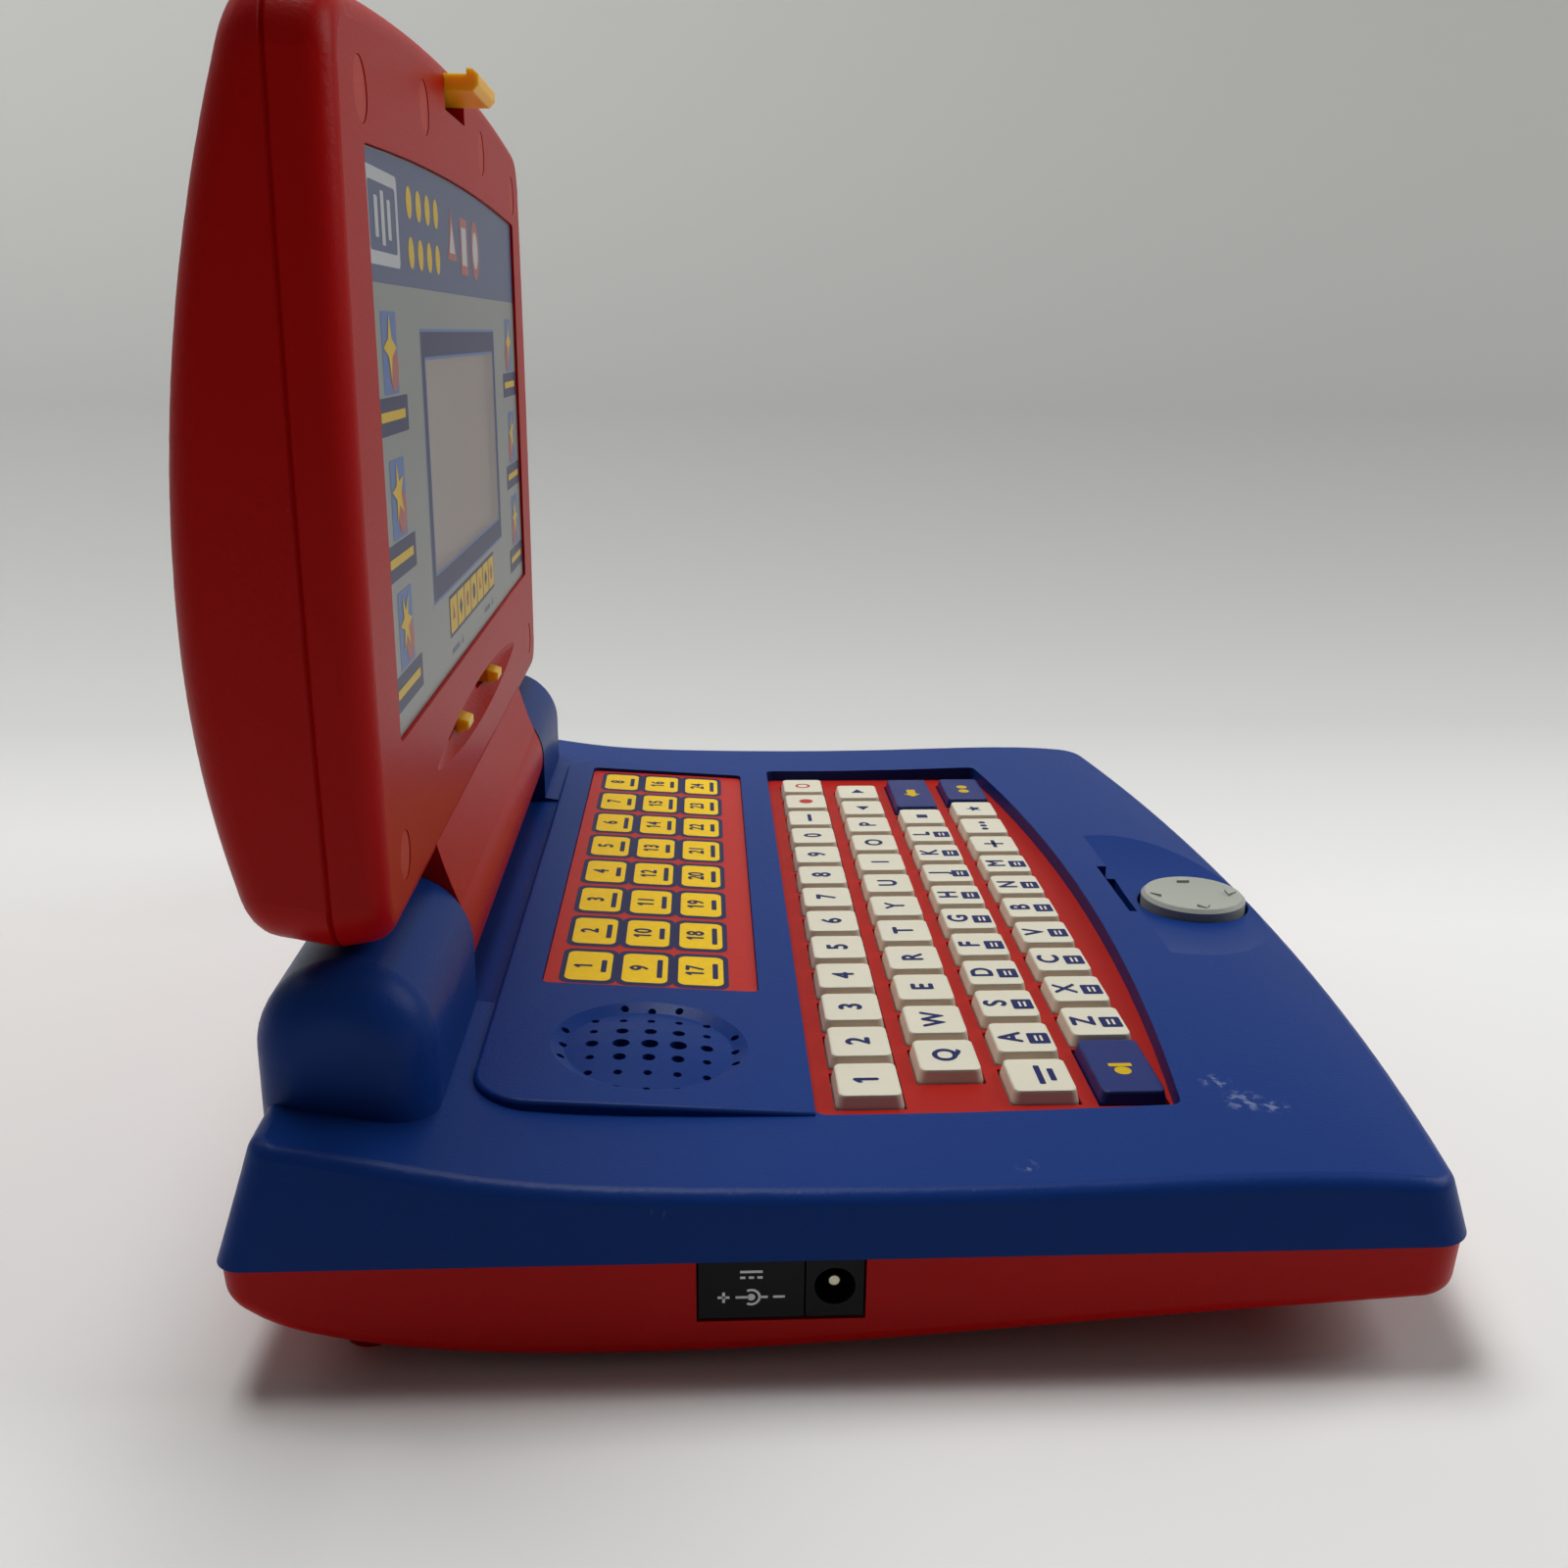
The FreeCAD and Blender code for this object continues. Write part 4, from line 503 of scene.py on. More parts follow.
def lettering(name, marks, size, sheet, layer, material, body):
    """One print of bold letters or digits: each mark is its text and its place on the sheet."""
    built = bmesh.new()
    shift = size * BOLD_SHARE
    for text, u, v in marks:
        curve = bpy.data.curves.new(name, "FONT")
        curve.body = text
        curve.size = size * MM
        curve.align_x = "CENTER"
        curve.align_y = "CENTER"
        holder = bpy.data.objects.new(name, curve)
        for copy, (du, dv) in enumerate(((1, 0), (-1, 0), (0, 1), (0, -1))):
            mesh = bpy.data.meshes.new_from_object(holder)
            lift = layer * PRINT_LAYER + copy * BOLD_LAYER
            place = sheet.matrix(u + du * shift, v + dv * shift, lift)
            if text.startswith("1"):
                flag = one_flag(mesh, curve.size)
                built.faces.new([built.verts.new(place @ corner) for corner in flag])
            mesh.transform(place)
            built.from_mesh(mesh)
            bpy.data.meshes.remove(mesh)
        bpy.data.objects.remove(holder)
        bpy.data.curves.remove(curve)
    mesh = bpy.data.meshes.new(name)
    built.to_mesh(mesh)
    built.free()
    return placed(name, mesh, material, body)


def centre_of(name):
    low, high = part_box(name)
    return (low + high) / 2


def key_top(name):
    """Sheet on top of a key, with its middle as origin."""
    middle = centre_of(name)
    return Sheet((middle.x, middle.y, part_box(name)[1].z), X_AXIS, Y_AXIS)


def settings_of(context, name):
    return getattr(context.scene, name)


class LAPTOP_OT_case(bpy.types.Operator):
    """Finishes the moulded case, lid and inner pieces"""

    bl_idname = "laptop.case"
    bl_label = "Case and lid"

    def execute(self, context):
        case = settings_of(context, "laptop_case")
        small = settings_of(context, "laptop_small")
        grain = case.grain / MM
        red_scuff = linear("#c98f8a")
        rubs = [(Vector(spot) * MM, radius * MM) for spot, radius in RUBS]
        dress(("base_bottom_shell", "battery_door", "lid_bezel", "lid_back_cover"),
              moulded_abs("ABS, moulded satin red", case.red, red_scuff, grain,
                          roughness=SATIN_ROUGHNESS, wear=0.25))
        dress(("base_top_shell",),
              moulded_abs("ABS, moulded satin blue", case.blue, case.scuff, grain,
                          roughness=SATIN_ROUGHNESS, wear=0.4, rubs=rubs))
        dress(("screw_plugs",),
              moulded_abs("ABS, moulded plug red", case.plug, red_scuff, grain, roughness=0.4, wear=0.1))
        dress(("keyboard_plate",),
              moulded_abs("ABS, moulded bright red", case.plate, linear("#d08a84"), grain,
                          roughness=0.45, wear=0.1))
        dress(("dc_jack", "jack_plate", "loudspeaker", "cursor_pivot"),
              moulded_abs("ABS, moulded black", small.black, linear("#3a3a3e"), grain,
                          roughness=0.4, wear=0.1))
        dress(("cursor_pad",),
              moulded_abs("ABS, moulded grey", small.grey, linear("#bdbfba"), grain,
                          roughness=0.42, wear=0.1))
        dress(("latch", "volume_knob", "contrast_knob"),
              polished_abs("ABS, polished yellow", small.yellow, roughness=0.3, glow_mm=YELLOW_GLOW_MM))
        dress(("key_mat",),
              moulded_abs("Silicone rubber, moulded", linear("#55555a"), linear("#66666a"), grain,
                          roughness=0.7, wear=0.1))
        dress(("main_board", "control_board"),
              moulded_abs("Glass-epoxy laminate, coated", linear("#2c5a38"), linear("#c9b26a"),
                          grain_mm=0.8, roughness=0.4, wear=0.8))
        dress(("case_screws", "lid_screws", "hinge_pins", "battery_contacts", "latch_spring"),
              plated_steel())
        return {"FINISHED"}


class LAPTOP_OT_keys(bpy.types.Operator):
    """Finishes the keys and prints their letters, digits and marks"""

    bl_idname = "laptop.keys"
    bl_label = "Keys and legends"

    # Millimetres from the middle of a key's top. Letters of the lower rows stand back from the middle,
    # and before them lies a small square with two bars
    LETTER_BACK = 2.1
    NOTE_PLACE = (-0.6, -2.9)
    NOTE_SHARE = 0.9
    NOTE_CORNER = 0.4
    NOTE_BAR = 0.45
    NOTE_BAR_CORNER = 0.1
    NOTE_BAR_ROWS = (-2.4, -3.4)
    # Marks on the wide keys: an arrow to the left, a dot beside a line, and two dots
    ARROW = ((3.0, -1.2), (-1.0, -1.2), (-1.0, -2.4), (-3.6, 0.0), (-1.0, 2.4), (-1.0, 1.2), (3.0, 1.2))
    DOT = 1.5
    DOT_BESIDE_LINE = -2.2
    DOT_PAIR = (-2.0, 2.0)
    LINE = (1.2, 4.2, 0.2)
    # Function marks printed red, by their places among the shapes
    POWER_MARKS = (1, 2)

    def execute(self, context):
        keys = settings_of(context, "laptop_keys")
        prints = settings_of(context, "laptop_prints")
        letters = ["key_" + letter for row in LETTER_ROWS for letter in row]
        wide = [name for name in NODES if name.startswith("key_wide")]
        dress(letters + ["digit_keys", "function_keys"],
              polished_abs("ABS, polished ivory", keys.ivory, roughness=0.34))
        dress(wide, polished_abs("ABS, polished navy", keys.blue, roughness=0.3))
        ink = printing_ink("Pad-printing ink, navy", keys.ink)
        pale = printing_ink("Pad-printing ink, pale", keys.ivory)
        red_ink = printing_ink("Pad-printing ink, red", keys.red_ink)
        yellow = printing_ink("Pad-printing ink, yellow", shade_of(prints.yellow, 0.7))
        size = keys.letter_height / MM
        for row, row_letters in enumerate(LETTER_ROWS):
            for letter in row_letters:
                name = "key_" + letter
                legend = [(letter.upper(), 0.0, self.LETTER_BACK if row else 0.0)]
                lettering("legend_" + letter, legend, size, key_top(name), 1, ink, name)
                if row:
                    self.note(letter, keys.note_width / MM, ink, pale)
        low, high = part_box("digit_keys")
        q_low, q_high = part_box("key_q")
        half_cap = (q_high.x - q_low.x) / 2
        pitch = (high.x - low.x - 2 * half_cap) / (len(DIGITS) - 1)
        row_middle = (low.y + high.y) / 2
        row_sheet = Sheet((low.x + half_cap, row_middle, high.z), X_AXIS, Y_AXIS)
        digits = [(digit, i * pitch / MM, 0.0) for i, digit in enumerate(DIGITS)]
        lettering("digit_legends", digits, size, row_sheet, 1, ink, "digit_keys")
        self.function_marks(Vector((high.x - half_cap, row_middle, high.z)), pitch, ink, red_ink)
        dot = regular(self.DOT, ROUND)
        marks = {
            "key_wide_enter": [self.ARROW],
            "key_wide_left": [moved(dot, self.DOT_BESIDE_LINE, 0.0), rounded(*self.LINE)],
            "key_wide_right": [moved(dot, u, 0.0) for u in self.DOT_PAIR],
        }
        for name, outlines in marks.items():
            printed("mark_" + name, outlines, key_top(name), 1, yellow, name)
        return {"FINISHED"}

    def note(self, letter, width, ink, pale):
        """Small square with two bars before a letter."""
        name = "key_" + letter
        top = key_top(name)
        u, v = self.NOTE_PLACE
        square = rounded(width, width * self.NOTE_SHARE, self.NOTE_CORNER)
        bar = crisp(width / 2, self.NOTE_BAR, self.NOTE_BAR_CORNER)
        bars = [moved(bar, u, row) for row in self.NOTE_BAR_ROWS]
        printed("note_" + letter, [moved(square, u, v)], top, 1, ink, name)
        printed("note_mark_" + letter, bars, top, 2, pale, name)

    def function_marks(self, last_digit, pitch, ink, red_ink):
        """Small generic marks on the function keys, placed from the neighbouring keys."""
        step = X_AXIS * pitch
        spots = [last_digit + step * i for i in (1, 2, 3)]
        spots += [centre_of("key_p") + step * i for i in (1, 2)]
        spots += [centre_of("key_a") - step, centre_of("key_l") + step]
        spots += [centre_of("key_m") + step * i for i in (1, 2, 3)]
        corner = 0.3
        shapes = (
            [rounded(6.0, 1.0, corner)],
            [regular(1.9, ROUND)],
            ring(regular(2.1, ROUND), regular(1.4, ROUND)),
            [regular(2.2, 3, turn=180)],
            [regular(2.2, 3)],
            [rounded(7.0, 1.1, corner), moved(rounded(4.6, 1.1, corner), 0.0, -2.2)],
            [regular(2.0, 4, turn=45)],
            [rounded(5.6, 1.0, corner), rounded(1.0, 5.0, corner)],
            [moved(regular(0.9, SMALL_ROUND), u, 0.0) for u in (-2.6, 0.0, 2.6)],
            [regular(2.3, 5, turn=90, inner=1.0)],
        )
        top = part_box("function_keys")[1].z
        for i, (spot, outlines) in enumerate(zip(spots, shapes)):
            sheet = Sheet((spot.x, spot.y, top), X_AXIS, Y_AXIS)
            colour = red_ink if i in self.POWER_MARKS else ink
            printed(f"function_mark_{i + 1}", outlines, sheet, 1, colour, "function_keys")


class LAPTOP_OT_activity_sheet(bpy.types.Operator):
    """Finishes the activity sheet and prints its numbered buttons"""

    bl_idname = "laptop.activity_sheet"
    bl_label = "Activity sheet"

    COLUMNS = 8
    ROWS = 3
    # Millimetres: free margins beside the buttons, from the back edge to the first row, and between rows
    MARGIN_LEFT = 1.4
    MARGIN_RIGHT = 1.0
    FIRST_ROW = 8.4
    ROW_STEP = 11.1
    # Corners of a button's field and border, and the share of the border left at its long sides
    FIELD_CORNER = 1.6
    BORDER_CORNER = 2.2
    BORDER_SHARE = 0.7
    # On a button, from its middle: the number, and a rule below it in one of three lengths
    NUMBER_SIZE = 5.0
    NUMBER_UP = 1.0
    RULE_DOWN = 2.9
    RULE_LENGTHS = (6.0, 7.5, 9.0)
    RULE_THICK = 1.1
    RULE_CORNER = 0.3

    def execute(self, context):
        prints = settings_of(context, "laptop_prints")
        yellow = printing_ink("Screen-printing ink, yellow", prints.yellow)
        navy = printing_ink("Screen-printing ink, navy", prints.navy)
        dress(("activity_overlay",), printing_ink("Polyester film, printed red", prints.sheet_red, 0.4))
        low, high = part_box("activity_overlay")
        slope = max(NODES["activity_overlay"].data.polygons, key=lambda face: face.normal.z).normal
        sheet = Sheet((0.0, high.y, high.z), X_AXIS, slope.cross(X_AXIS))
        width = prints.button_width / MM
        height = prints.button_height / MM
        border = prints.button_border / MM
        field = rounded(width, height, self.FIELD_CORNER)
        outline = rounded(width + 2 * border, height + 2 * border * self.BORDER_SHARE, self.BORDER_CORNER)
        left = low.x / MM + self.MARGIN_LEFT
        step = (high.x / MM - self.MARGIN_RIGHT - left) / self.COLUMNS
        places = [(left + (column + 0.5) * step, -self.FIRST_ROW - row * self.ROW_STEP)
                  for row in range(self.ROWS) for column in range(self.COLUMNS)]
        printed("button_borders", [moved(outline, u, v) for u, v in places], sheet, 1, navy, "base")
        printed("button_fields", [moved(field, u, v) for u, v in places], sheet, 2, yellow, "base")
        numbers = [(str(i + 1), u, v + self.NUMBER_UP) for i, (u, v) in enumerate(places)]
        lettering("button_numbers", numbers, self.NUMBER_SIZE, sheet, 3, navy, "base")
        lengths = [rounded(length, self.RULE_THICK, self.RULE_CORNER) for length in self.RULE_LENGTHS]
        rules = [moved(lengths[i % len(lengths)], u, v - self.RULE_DOWN)
                 for i, (u, v) in enumerate(places)]
        printed("button_rules", rules, sheet, 3, navy, "base")
        return {"FINISHED"}


class LAPTOP_OT_screen(bpy.types.Operator):
    """Finishes the screen lens, its print, the display tray and the display"""

    bl_idname = "laptop.screen"
    bl_label = "Screen"

    INK_ROUGHNESS = 0.32
    # Millimetres: wall of the tray round the window, and how much wider and taller than the window are
    # the hem, the frame and the edge line round it
    TRAY_WALL = 2.0
    HEM = (1.0, 1.0)
    FRAME = (7.0, 9.6)
    EDGE = (8.0, 10.6)
    # Heights above the floor under the base, in millimetres
    HEADER_LOW = 160.0
    HEADER_MIDDLE = 169.6
    PICTURE_ROWS = (149.6, 127.0, 106.0)
    STRIP = 99.6
    KNOB_MARKS = 92.6
    # The header stops this far inside the lens, and its corners lie this far under its top
    HEADER_INSET = 0.2
    HEADER_CORNER_DROP = 2.2
    # Shapes in the header, by their places across: a framed block with three bars, rows of dots, three
    # solid shapes
    BLOCK = -76.0
    BLOCK_FRAME = ((25.0, 14.0, 1.2), (21.0, 10.0, 0.8))
    BLOCK_BARS = ((-5.0, 6.0), (0.0, 8.0), (5.0, 6.0))
    BAR_WIDTH = 2.6
    BAR_CORNER = 0.4
    HEADER_DOT = 2.6
    DOT_COLUMNS = (-53.0, -44.0, -35.0, -26.0)
    DOT_ROWS = (4.0, -4.0)
    SOLIDS = (-8.0, 8.0, 24.0)
    # Pictures beside the display: their distance from the middle and their size, a disc and a star in
    # them by radius and place, their label and its line
    PICTURE_COLUMN = 76.5
    PICTURE = (12.0, 12.6, 0.4)
    DISC = 3.6
    DISC_INWARD = 2.6
    DISC_DOWN = 2.4
    STAR = 5.2
    STAR_INNER = 2.0
    STAR_UP = 0.8
    LABEL_DOWN = 9.6
    LABEL = (25.0, 5.8)
    LABEL_LINE = (20.0, 1.5)
    # Strip under the display: its ground, and its tiles from the left
    STRIP_GROUND = (65.0, 8.2, 0.4)
    TILE = (8.4, 6.8, 0.4)
    TILES = 7
    TILE_FIRST = -28.0
    TILE_STEP = 9.2
    TILE_MARK = 1.9
    # Marks over the slide knobs: a line and a triangle, by their places beside the knob's middle
    KNOB_LINE = (9.0, 1.0, 0.2)
    KNOB_LINE_ASIDE = -4.0
    KNOB_ARROW = 1.3
    KNOB_ARROW_ASIDE = 4.5

    def execute(self, context):
        prints = settings_of(context, "laptop_prints")
        colours = {"header blue": prints.band, "label navy": prints.navy, "edge blue": prints.sky,
                   "white": prints.white, "red": prints.red, "soft yellow": shade_of(prints.yellow, 0.72)}
        inks = {name: printing_ink("Screen-printing ink, " + name, colour, self.INK_ROUGHNESS)
                for name, colour in colours.items()}
        tray_low, tray_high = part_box("display_tray")
        wall = Vector((self.TRAY_WALL, 0.0, self.TRAY_WALL)) * MM
        window_low = tray_low + wall
        window_high = tray_high - wall
        # The lens carries painted reflection over its display window
        dress(("screen_lens",), printed_acrylic(prints.panel, prints.painted_sheen, window_low, window_high))
        dress(("display_tray",), polished_abs("ABS, moulded tray pink", linear("#e6c4be"), roughness=0.5))
        dress(("display_glass",), display_film())
        low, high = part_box("screen_lens")
        sheet = Sheet((0.0, low.y, 0.0), X_AXIS, Z_AXIS)

        def print_on(name, outlines, layer, ink):
            printed(name, outlines, sheet, layer, inks[ink], "lid")

        print_on("header_band", [self.header(high / MM)], 1, "header blue")
        self.display_frame(print_on, window_low / MM, window_high / MM)
        self.header_shapes(print_on)
        self.picture_columns(print_on)
        self.strip(print_on)
        marks = []
        for name in ("volume_knob", "contrast_knob"):
            x = centre_of(name).x / MM
            arrow = regular(self.KNOB_ARROW, 3, turn=90)
            marks.append(moved(crisp(*self.KNOB_LINE), x + self.KNOB_LINE_ASIDE, self.KNOB_MARKS))
            marks.append(moved(arrow, x + self.KNOB_ARROW_ASIDE, self.KNOB_MARKS))
        print_on("knob_marks", marks, 1, "header blue")
        return {"FINISHED"}

    def header(self, top, steps=24):
        """Header band: level below, following the lens's arched top above."""
        half = top.x - self.HEADER_INSET
        corner = top.z - self.HEADER_CORNER_DROP
        rise = self.HEADER_CORNER_DROP - self.HEADER_INSET
        turns = [math.cos(math.pi * i / steps) for i in range(steps + 1)]
        arch = [(half * turn, corner + rise * (1 - turn ** 2)) for turn in turns]
        return [(-half, self.HEADER_LOW), (half, self.HEADER_LOW)] + arch

    def display_frame(self, print_on, low, high):
        """Navy frame round the display window, with a thin blue line inside and outside."""
        middle = (low + high) / 2
        size = high - low
        hole, hem, edge_in, edge_out = (
            moved(crisp(size.x + across, size.z + up), middle.x, middle.z)
            for across, up in ((0.0, 0.0), self.HEM, self.FRAME, self.EDGE))
        print_on("display_edge", ring(edge_out, edge_in) + ring(hem, hole), 1, "edge blue")
        print_on("display_frame", ring(edge_in, hem), 1, "label navy")

    def header_shapes(self, print_on):
        """Generic building-block shapes in the header, about as bold as a heading."""
        z = self.HEADER_MIDDLE
        block = ring(*(rounded(*size) for size in self.BLOCK_FRAME))
        bars = [moved(rounded(self.BAR_WIDTH, height, self.BAR_CORNER), self.BLOCK + u, z)
                for u, height in self.BLOCK_BARS]
        dot = regular(self.HEADER_DOT, PRINT_ROUND)
        dots = [moved(dot, u, z + v) for u in self.DOT_COLUMNS for v in self.DOT_ROWS]
        solids = (regular(6.6, 3, turn=90), rounded(10.0, 11.0, 0.6), regular(6.0, 28))
        cores = (regular(4.0, 3, turn=90), rounded(6.4, 7.4, 0.4), regular(3.8, 28))
        print_on("header_block", [moved(quad, self.BLOCK, z) for quad in block], 2, "white")
        print_on("header_bars", bars, 2, "white")
        print_on("header_dots", dots, 2, "soft yellow")
        print_on("header_solids", [moved(solid, u, z) for solid, u in zip(solids, self.SOLIDS)], 2, "red")
        print_on("header_cores", [moved(core, u, z) for core, u in zip(cores, self.SOLIDS)], 3, "white")

    def picture_columns(self, print_on):
        """Three pictures with label bars on each side of the display, drawn as plain shapes."""
        grounds, rounds, stars, labels, lines = [], [], [], [], []
        for side in (-1, 1):
            x = side * self.PICTURE_COLUMN
            for row, z in enumerate(self.PICTURE_ROWS):
                grounds.append(moved(crisp(*self.PICTURE), x, z))
                disc = regular(self.DISC, PRINT_ROUND)
                star = regular(self.STAR, 4 + row, turn=30 * row, inner=self.STAR_INNER)
                rounds.append(moved(disc, x - side * self.DISC_INWARD, z - self.DISC_DOWN))
                stars.append(moved(star, x, z + self.STAR_UP))
                labels.append(moved(crisp(*self.LABEL), x, z - self.LABEL_DOWN))
                lines.append(moved(crisp(*self.LABEL_LINE), x, z - self.LABEL_DOWN))
        print_on("picture_grounds", grounds, 1, "edge blue")
        print_on("picture_rounds", rounds, 2, "red")
        print_on("picture_stars", stars, 3, "soft yellow")
        print_on("picture_labels", labels, 1, "label navy")
        print_on("picture_label_lines", lines, 2, "soft yellow")

    def strip(self, print_on):
        """Strip of tiles with small polygons under the display."""
        places = [self.TILE_FIRST + self.TILE_STEP * i for i in range(self.TILES)]
        ground = moved(crisp(*self.STRIP_GROUND), (places[0] + places[-1]) / 2, self.STRIP)
        tiles = [moved(crisp(*self.TILE), x, self.STRIP) for x in places]
        marks = [moved(regular(self.TILE_MARK, 3 + i % 4, turn=90), x, self.STRIP)
                 for i, x in enumerate(places)]
        print_on("strip_ground", [ground], 1, "label navy")
        print_on("strip_tiles", tiles, 2, "soft yellow")
        print_on("strip_marks", marks[::2], 3, "red")
        print_on("strip_marks_dark", marks[1::2], 3, "label navy")


class LAPTOP_OT_jack_marks(bpy.types.Operator):
    """Prints the usual direct-current and polarity signs beside the jack, and finishes its pin"""

    bl_idname = "laptop.jack_marks"
    bl_label = "Jack signs"

    # Millimetres: heights of the two signs from the plate's middle, and their stroke
    CURRENT_UP = 2.3
    POLARITY_DOWN = 1.6
    STROKE = 0.42
    STROKE_CORNER = 0.05
    # Direct-current sign: a line over three dashes, which lie this far from the sign's middle
    LINE = 3.4
    DASH = 0.8
    DASHES = (-1.3, 0.0, 1.3)
    HALF_GAP = 0.5
    # Polarity sign: an open ring about a dot, by its radii and by those of its sides that are drawn
    RING = (1.45, 1.05)
    RING_TURN = 195
    RING_SIDES = slice(3, 19)
    DOT = 0.6
    # Lines from the ring's middle to its poles, by length and place, and the signs of the two poles
    LEADS = ((2.0, -1.4), (1.2, 1.9))
    POLE = 4.2
    ARM = 1.8
    # How far the jack's centre pin stands back behind the socket's face, and its bright end's radius
    PIN_SUNK = 1.5
    PIN_RADIUS = 0.8

    def execute(self, context):
        white = printing_ink("Pad-printing ink, white", linear("#dededc"))
        low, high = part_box("jack_plate")
        middle = (low + high) / 2
        plate = Sheet((low.x, middle.y, middle.z), -Y_AXIS, Z_AXIS)
        current = [self.bar(self.LINE, 0.0, self.HALF_GAP)]
        current += [self.bar(self.DASH, u, -self.HALF_GAP) for u in self.DASHES]
        poles = [self.bar(self.ARM, -self.POLE), self.bar(self.ARM, self.POLE)]
        upright = moved(rounded(self.STROKE, self.ARM, self.STROKE_CORNER, 1), -self.POLE, 0.0)
        leads = [self.bar(length, u) for length, u in self.LEADS]
        outer, inner = (regular(radius, ROUND, self.RING_TURN) for radius in self.RING)
        open_ring = ring(outer, inner)[self.RING_SIDES]
        polarity = [*poles, upright, *leads, regular(self.DOT, SMALL_ROUND), *open_ring]
        signs = [moved(outline, 0.0, self.CURRENT_UP) for outline in current]
        signs += [moved(outline, 0.0, -self.POLARITY_DOWN) for outline in polarity]
        printed("jack_signs", signs, plate, 1, white, "base")
        socket = next(mount for mount in frame["record"]["mounts"] if mount["name"] == "power_jack")
        pin_end = Sheet(Vector(socket["pos_m"]) + X_AXIS * self.PIN_SUNK * MM, -Y_AXIS, Z_AXIS)
        printed("jack_pin_end", [regular(self.PIN_RADIUS, ROUND)], pin_end, 1, plated_brass(), "base")
        return {"FINISHED"}

    def bar(self, width, u, v=0.0):
        """Level stroke of a sign."""
        return moved(rounded(width, self.STROKE, self.STROKE_CORNER, 1), u, v)


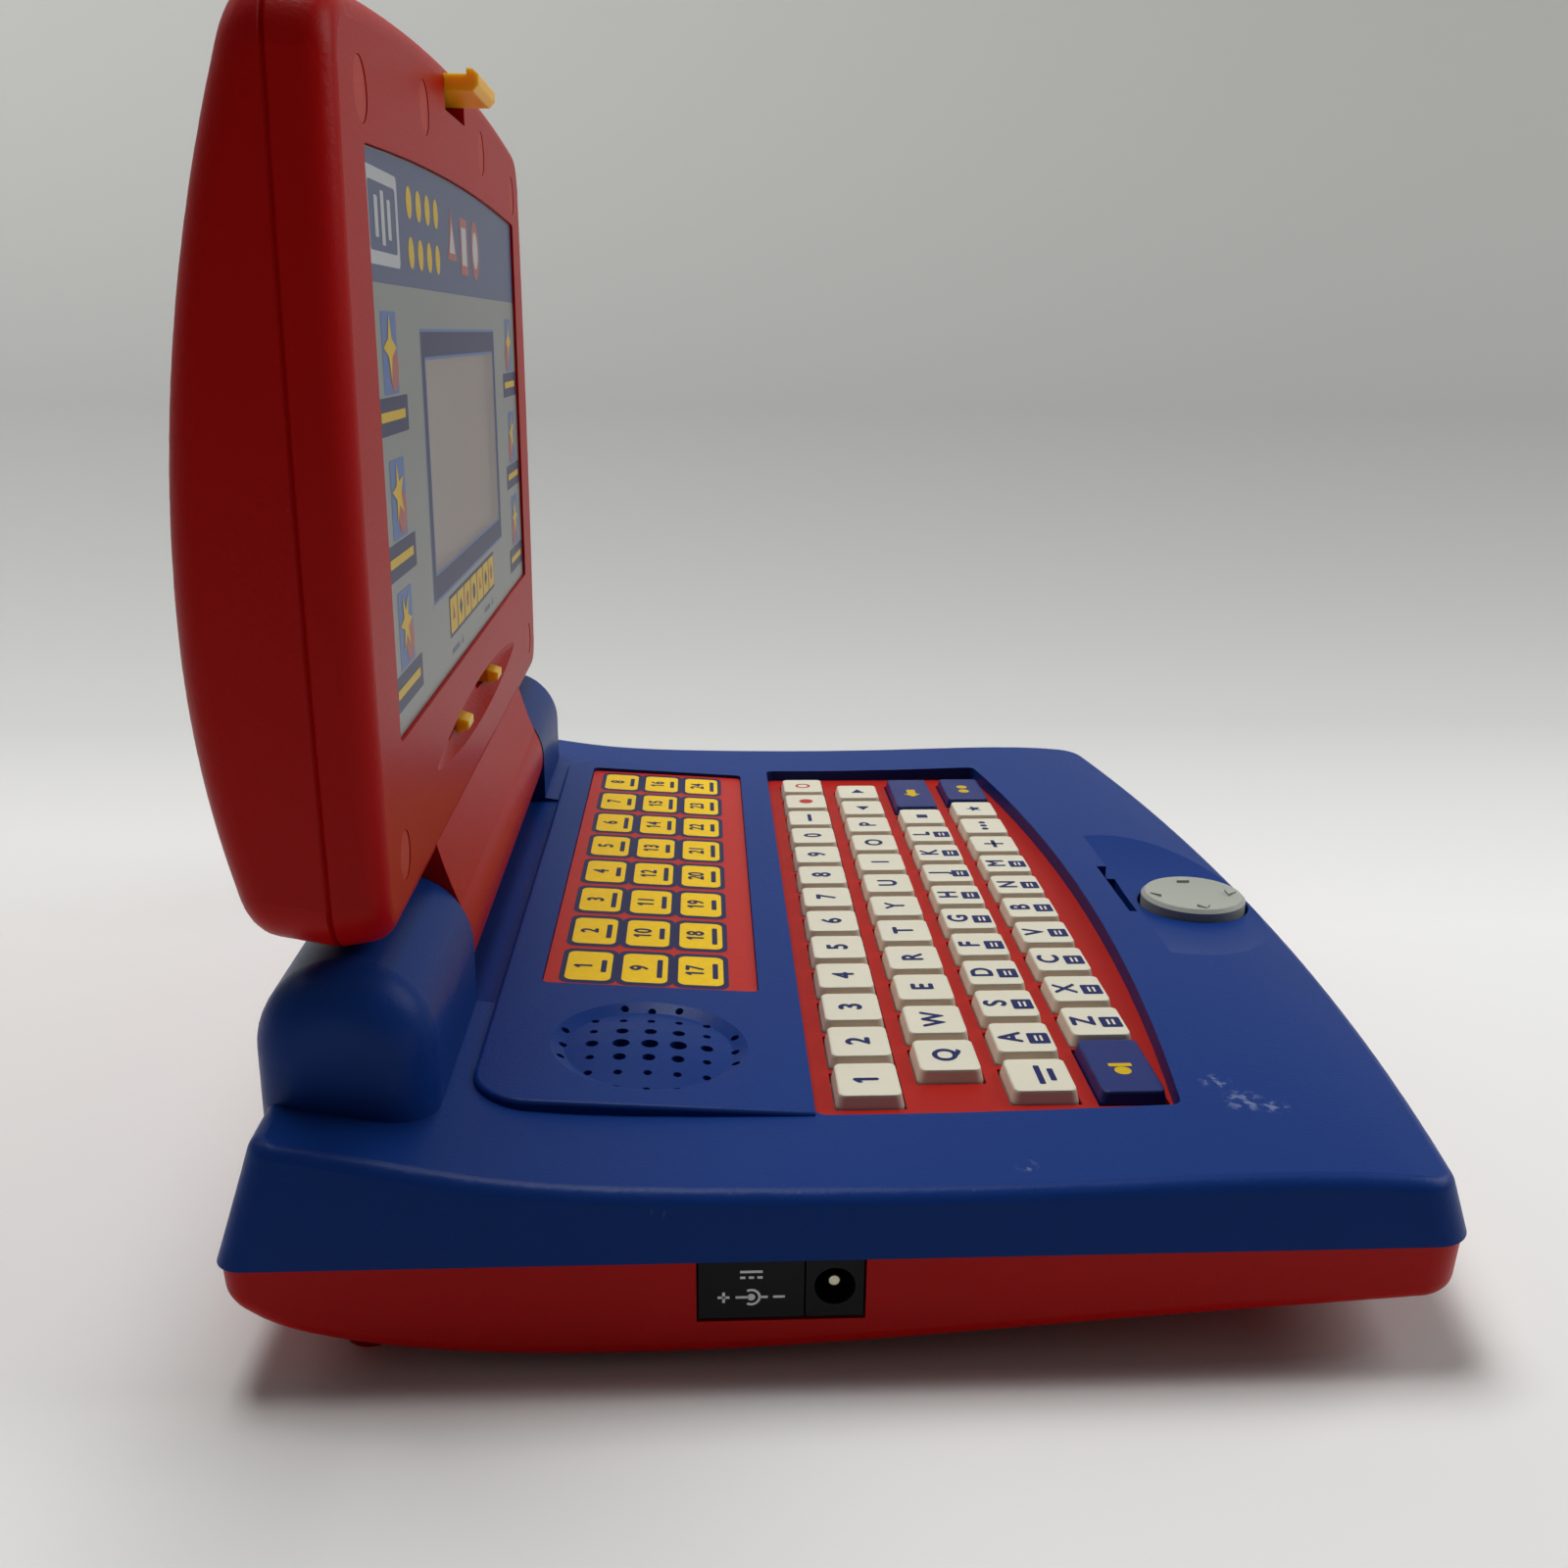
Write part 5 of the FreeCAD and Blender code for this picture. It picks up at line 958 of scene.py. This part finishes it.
class LAPTOP_OT_stage(bpy.types.Operator):
    """Sets the paper sweep, the soft lights and the photograph's camera"""

    bl_idname = "laptop.stage"
    bl_label = "Stage"

    # Soft lights: name, place and aim in metres, side in metres, power in watts
    LIGHTS = (
        ("Overhead softbox", (0.4, 0.2, 1.5), (0.0, 0.0, 0.0), 0.7, 17.0),
        ("Front softbox", (0.3, -1.3, 0.9), (0.0, 0.0, 0.08), 0.9, 9.0),
        ("Wall light", (0.4, 0.9, 0.9), (1.0, 1.0, 0.3), 0.5, 4.4),
    )
    # Distances in metres behind the object at which the paper has its four greys, painted shade of the
    # light falling off
    PAINTED_FALLOFF_STOPS = (0.05, 0.28, 0.72, 1.0)
    SWEEP_STEPS = 32

    def execute(self, context):
        stage = settings_of(context, "laptop_stage")
        scene = context.scene
        self.paper_sweep(scene, stage)
        for light in self.LIGHTS:
            self.soft_light(scene, *light)
        scene.world = self.studio_air(stage)
        scene.view_settings.view_transform = "Standard"
        self.camera(scene)
        return {"FINISHED"}

    def studio_air(self, stage):
        """World that lights dimly but shows as a pale room past the paper's edges."""
        world = bpy.data.worlds.new("Studio air")
        world.use_nodes = True
        tree = world.node_tree
        tree.nodes.clear()
        ray = node(tree, "ShaderNodeLightPath")
        seen = calculated(tree, "ADD", ray.outputs["Is Camera Ray"], ray.outputs["Is Glossy Ray"])
        shown = calculated(tree, "ADD", seen, ray.outputs["Is Transmission Ray"], use_clamp=True)
        air = node(tree, "ShaderNodeBackground",
                   {"Color": stage.air, "Strength": ranged(tree, shown, AIR_LIGHT, AIR_SHOWN)})
        node(tree, "ShaderNodeOutputWorld", {"Surface": air.outputs["Background"]})
        return world

    def paper_sweep(self, scene, stage):
        """Floor that curves up into a wall behind the object."""
        profile = [(-stage.half_width, 0.0), (stage.floor_reach, 0.0)]
        for i in range(1, self.SWEEP_STEPS + 1):
            angle = math.pi / 2 * i / self.SWEEP_STEPS
            profile.append((stage.floor_reach + stage.sweep_radius * math.sin(angle),
                            stage.sweep_radius * (1 - math.cos(angle))))
        profile.append((profile[-1][0], stage.wall_height))
        points = [(x, side * stage.half_width, z) for x, z in profile for side in (-1, 1)]
        faces = [(2 * i, 2 * i + 2, 2 * i + 3, 2 * i + 1) for i in range(len(profile) - 1)]
        mesh = bpy.data.meshes.new("paper_sweep")
        mesh.from_pydata(points, [], faces)
        mesh.polygons.foreach_set("use_smooth", [True] * len(faces))
        # Painted shade: the paper's colour greys with distance behind the object
        painted_falloff_greys = (stage.floor, stage.painted_shade_far_floor, stage.wall, stage.painted_shade_wall_top)
        mesh.materials.append(paper_with_painted_falloff(tuple(zip(self.PAINTED_FALLOFF_STOPS, painted_falloff_greys))))
        sweep = bpy.data.objects.new("paper_sweep", mesh)
        scene.collection.objects.link(sweep)

    def soft_light(self, scene, name, place, aim, size, power):
        """Square area light at a place, turned to its aim."""
        lamp = bpy.data.lights.new(name, "AREA")
        lamp.shape = "SQUARE"
        lamp.size = size
        lamp.energy = power
        holder = bpy.data.objects.new(name, lamp)
        holder.location = place
        holder.rotation_euler = (Vector(aim) - Vector(place)).to_track_quat("-Z", "Y").to_euler()
        scene.collection.objects.link(holder)

    def camera(self, scene):
        """Camera at the photograph's place, with its pitch, yaw and roll."""
        pitch = math.radians(CAMERA_PITCH)
        yaw = math.radians(CAMERA_YAW)
        roll = math.radians(CAMERA_ROLL)
        ahead = Vector((math.cos(yaw), -math.sin(yaw), 0.0))
        right = Vector((-math.sin(yaw), -math.cos(yaw), 0.0))
        down = -Z_AXIS
        look = ahead * math.cos(pitch) + down * math.sin(pitch)
        below = down * math.cos(pitch) - ahead * math.sin(pitch)
        across = right * math.cos(roll) + below * math.sin(roll)
        under = below * math.cos(roll) - right * math.sin(roll)
        data = bpy.data.cameras.new("Photograph camera")
        data.sensor_width = CAMERA_SENSOR_MM
        data.lens = CAMERA_LENS_MM
        data.clip_start = CAMERA_NEAR
        holder = bpy.data.objects.new("Photograph camera", data)
        turn = Matrix((across, -under, -look)).transposed().to_4x4()
        holder.matrix_world = Matrix.Translation(CAMERA_PLACE) @ turn
        scene.collection.objects.link(holder)
        scene.camera = holder


OPERATORS = (
    LAPTOP_OT_case,
    LAPTOP_OT_keys,
    LAPTOP_OT_activity_sheet,
    LAPTOP_OT_screen,
    LAPTOP_OT_jack_marks,
    LAPTOP_OT_stage,
)


class LAPTOP_PT_panel(bpy.types.Panel):
    """Lists the settings and the steps that finish the toy laptop"""

    bl_idname = "LAPTOP_PT_panel"
    bl_label = "Toy laptop"
    bl_space_type = "VIEW_3D"
    bl_region_type = "UI"
    bl_category = "Toy laptop"

    def draw(self, context):
        for name, group in SETTINGS.items():
            column = self.layout.column(align=True)
            for setting in group.__annotations__:
                column.prop(settings_of(context, name), setting)
        for operator in OPERATORS:
            self.layout.operator(operator.bl_idname)


CLASSES = (*SETTINGS.values(), *OPERATORS, LAPTOP_PT_panel)


def register():
    for cls in CLASSES:
        bpy.utils.register_class(cls)
    for name, group in SETTINGS.items():
        setattr(bpy.types.Scene, name, bpy.props.PointerProperty(type=group))


def unregister():
    for name in SETTINGS:
        delattr(bpy.types.Scene, name)
    for cls in reversed(CLASSES):
        bpy.utils.unregister_class(cls)


def main():
    register()
    bpy.ops.laptop.case()
    bpy.ops.laptop.keys()
    bpy.ops.laptop.activity_sheet()
    bpy.ops.laptop.screen()
    bpy.ops.laptop.jack_marks()
    bpy.ops.laptop.stage()


if __name__ == "__main__":
    main()
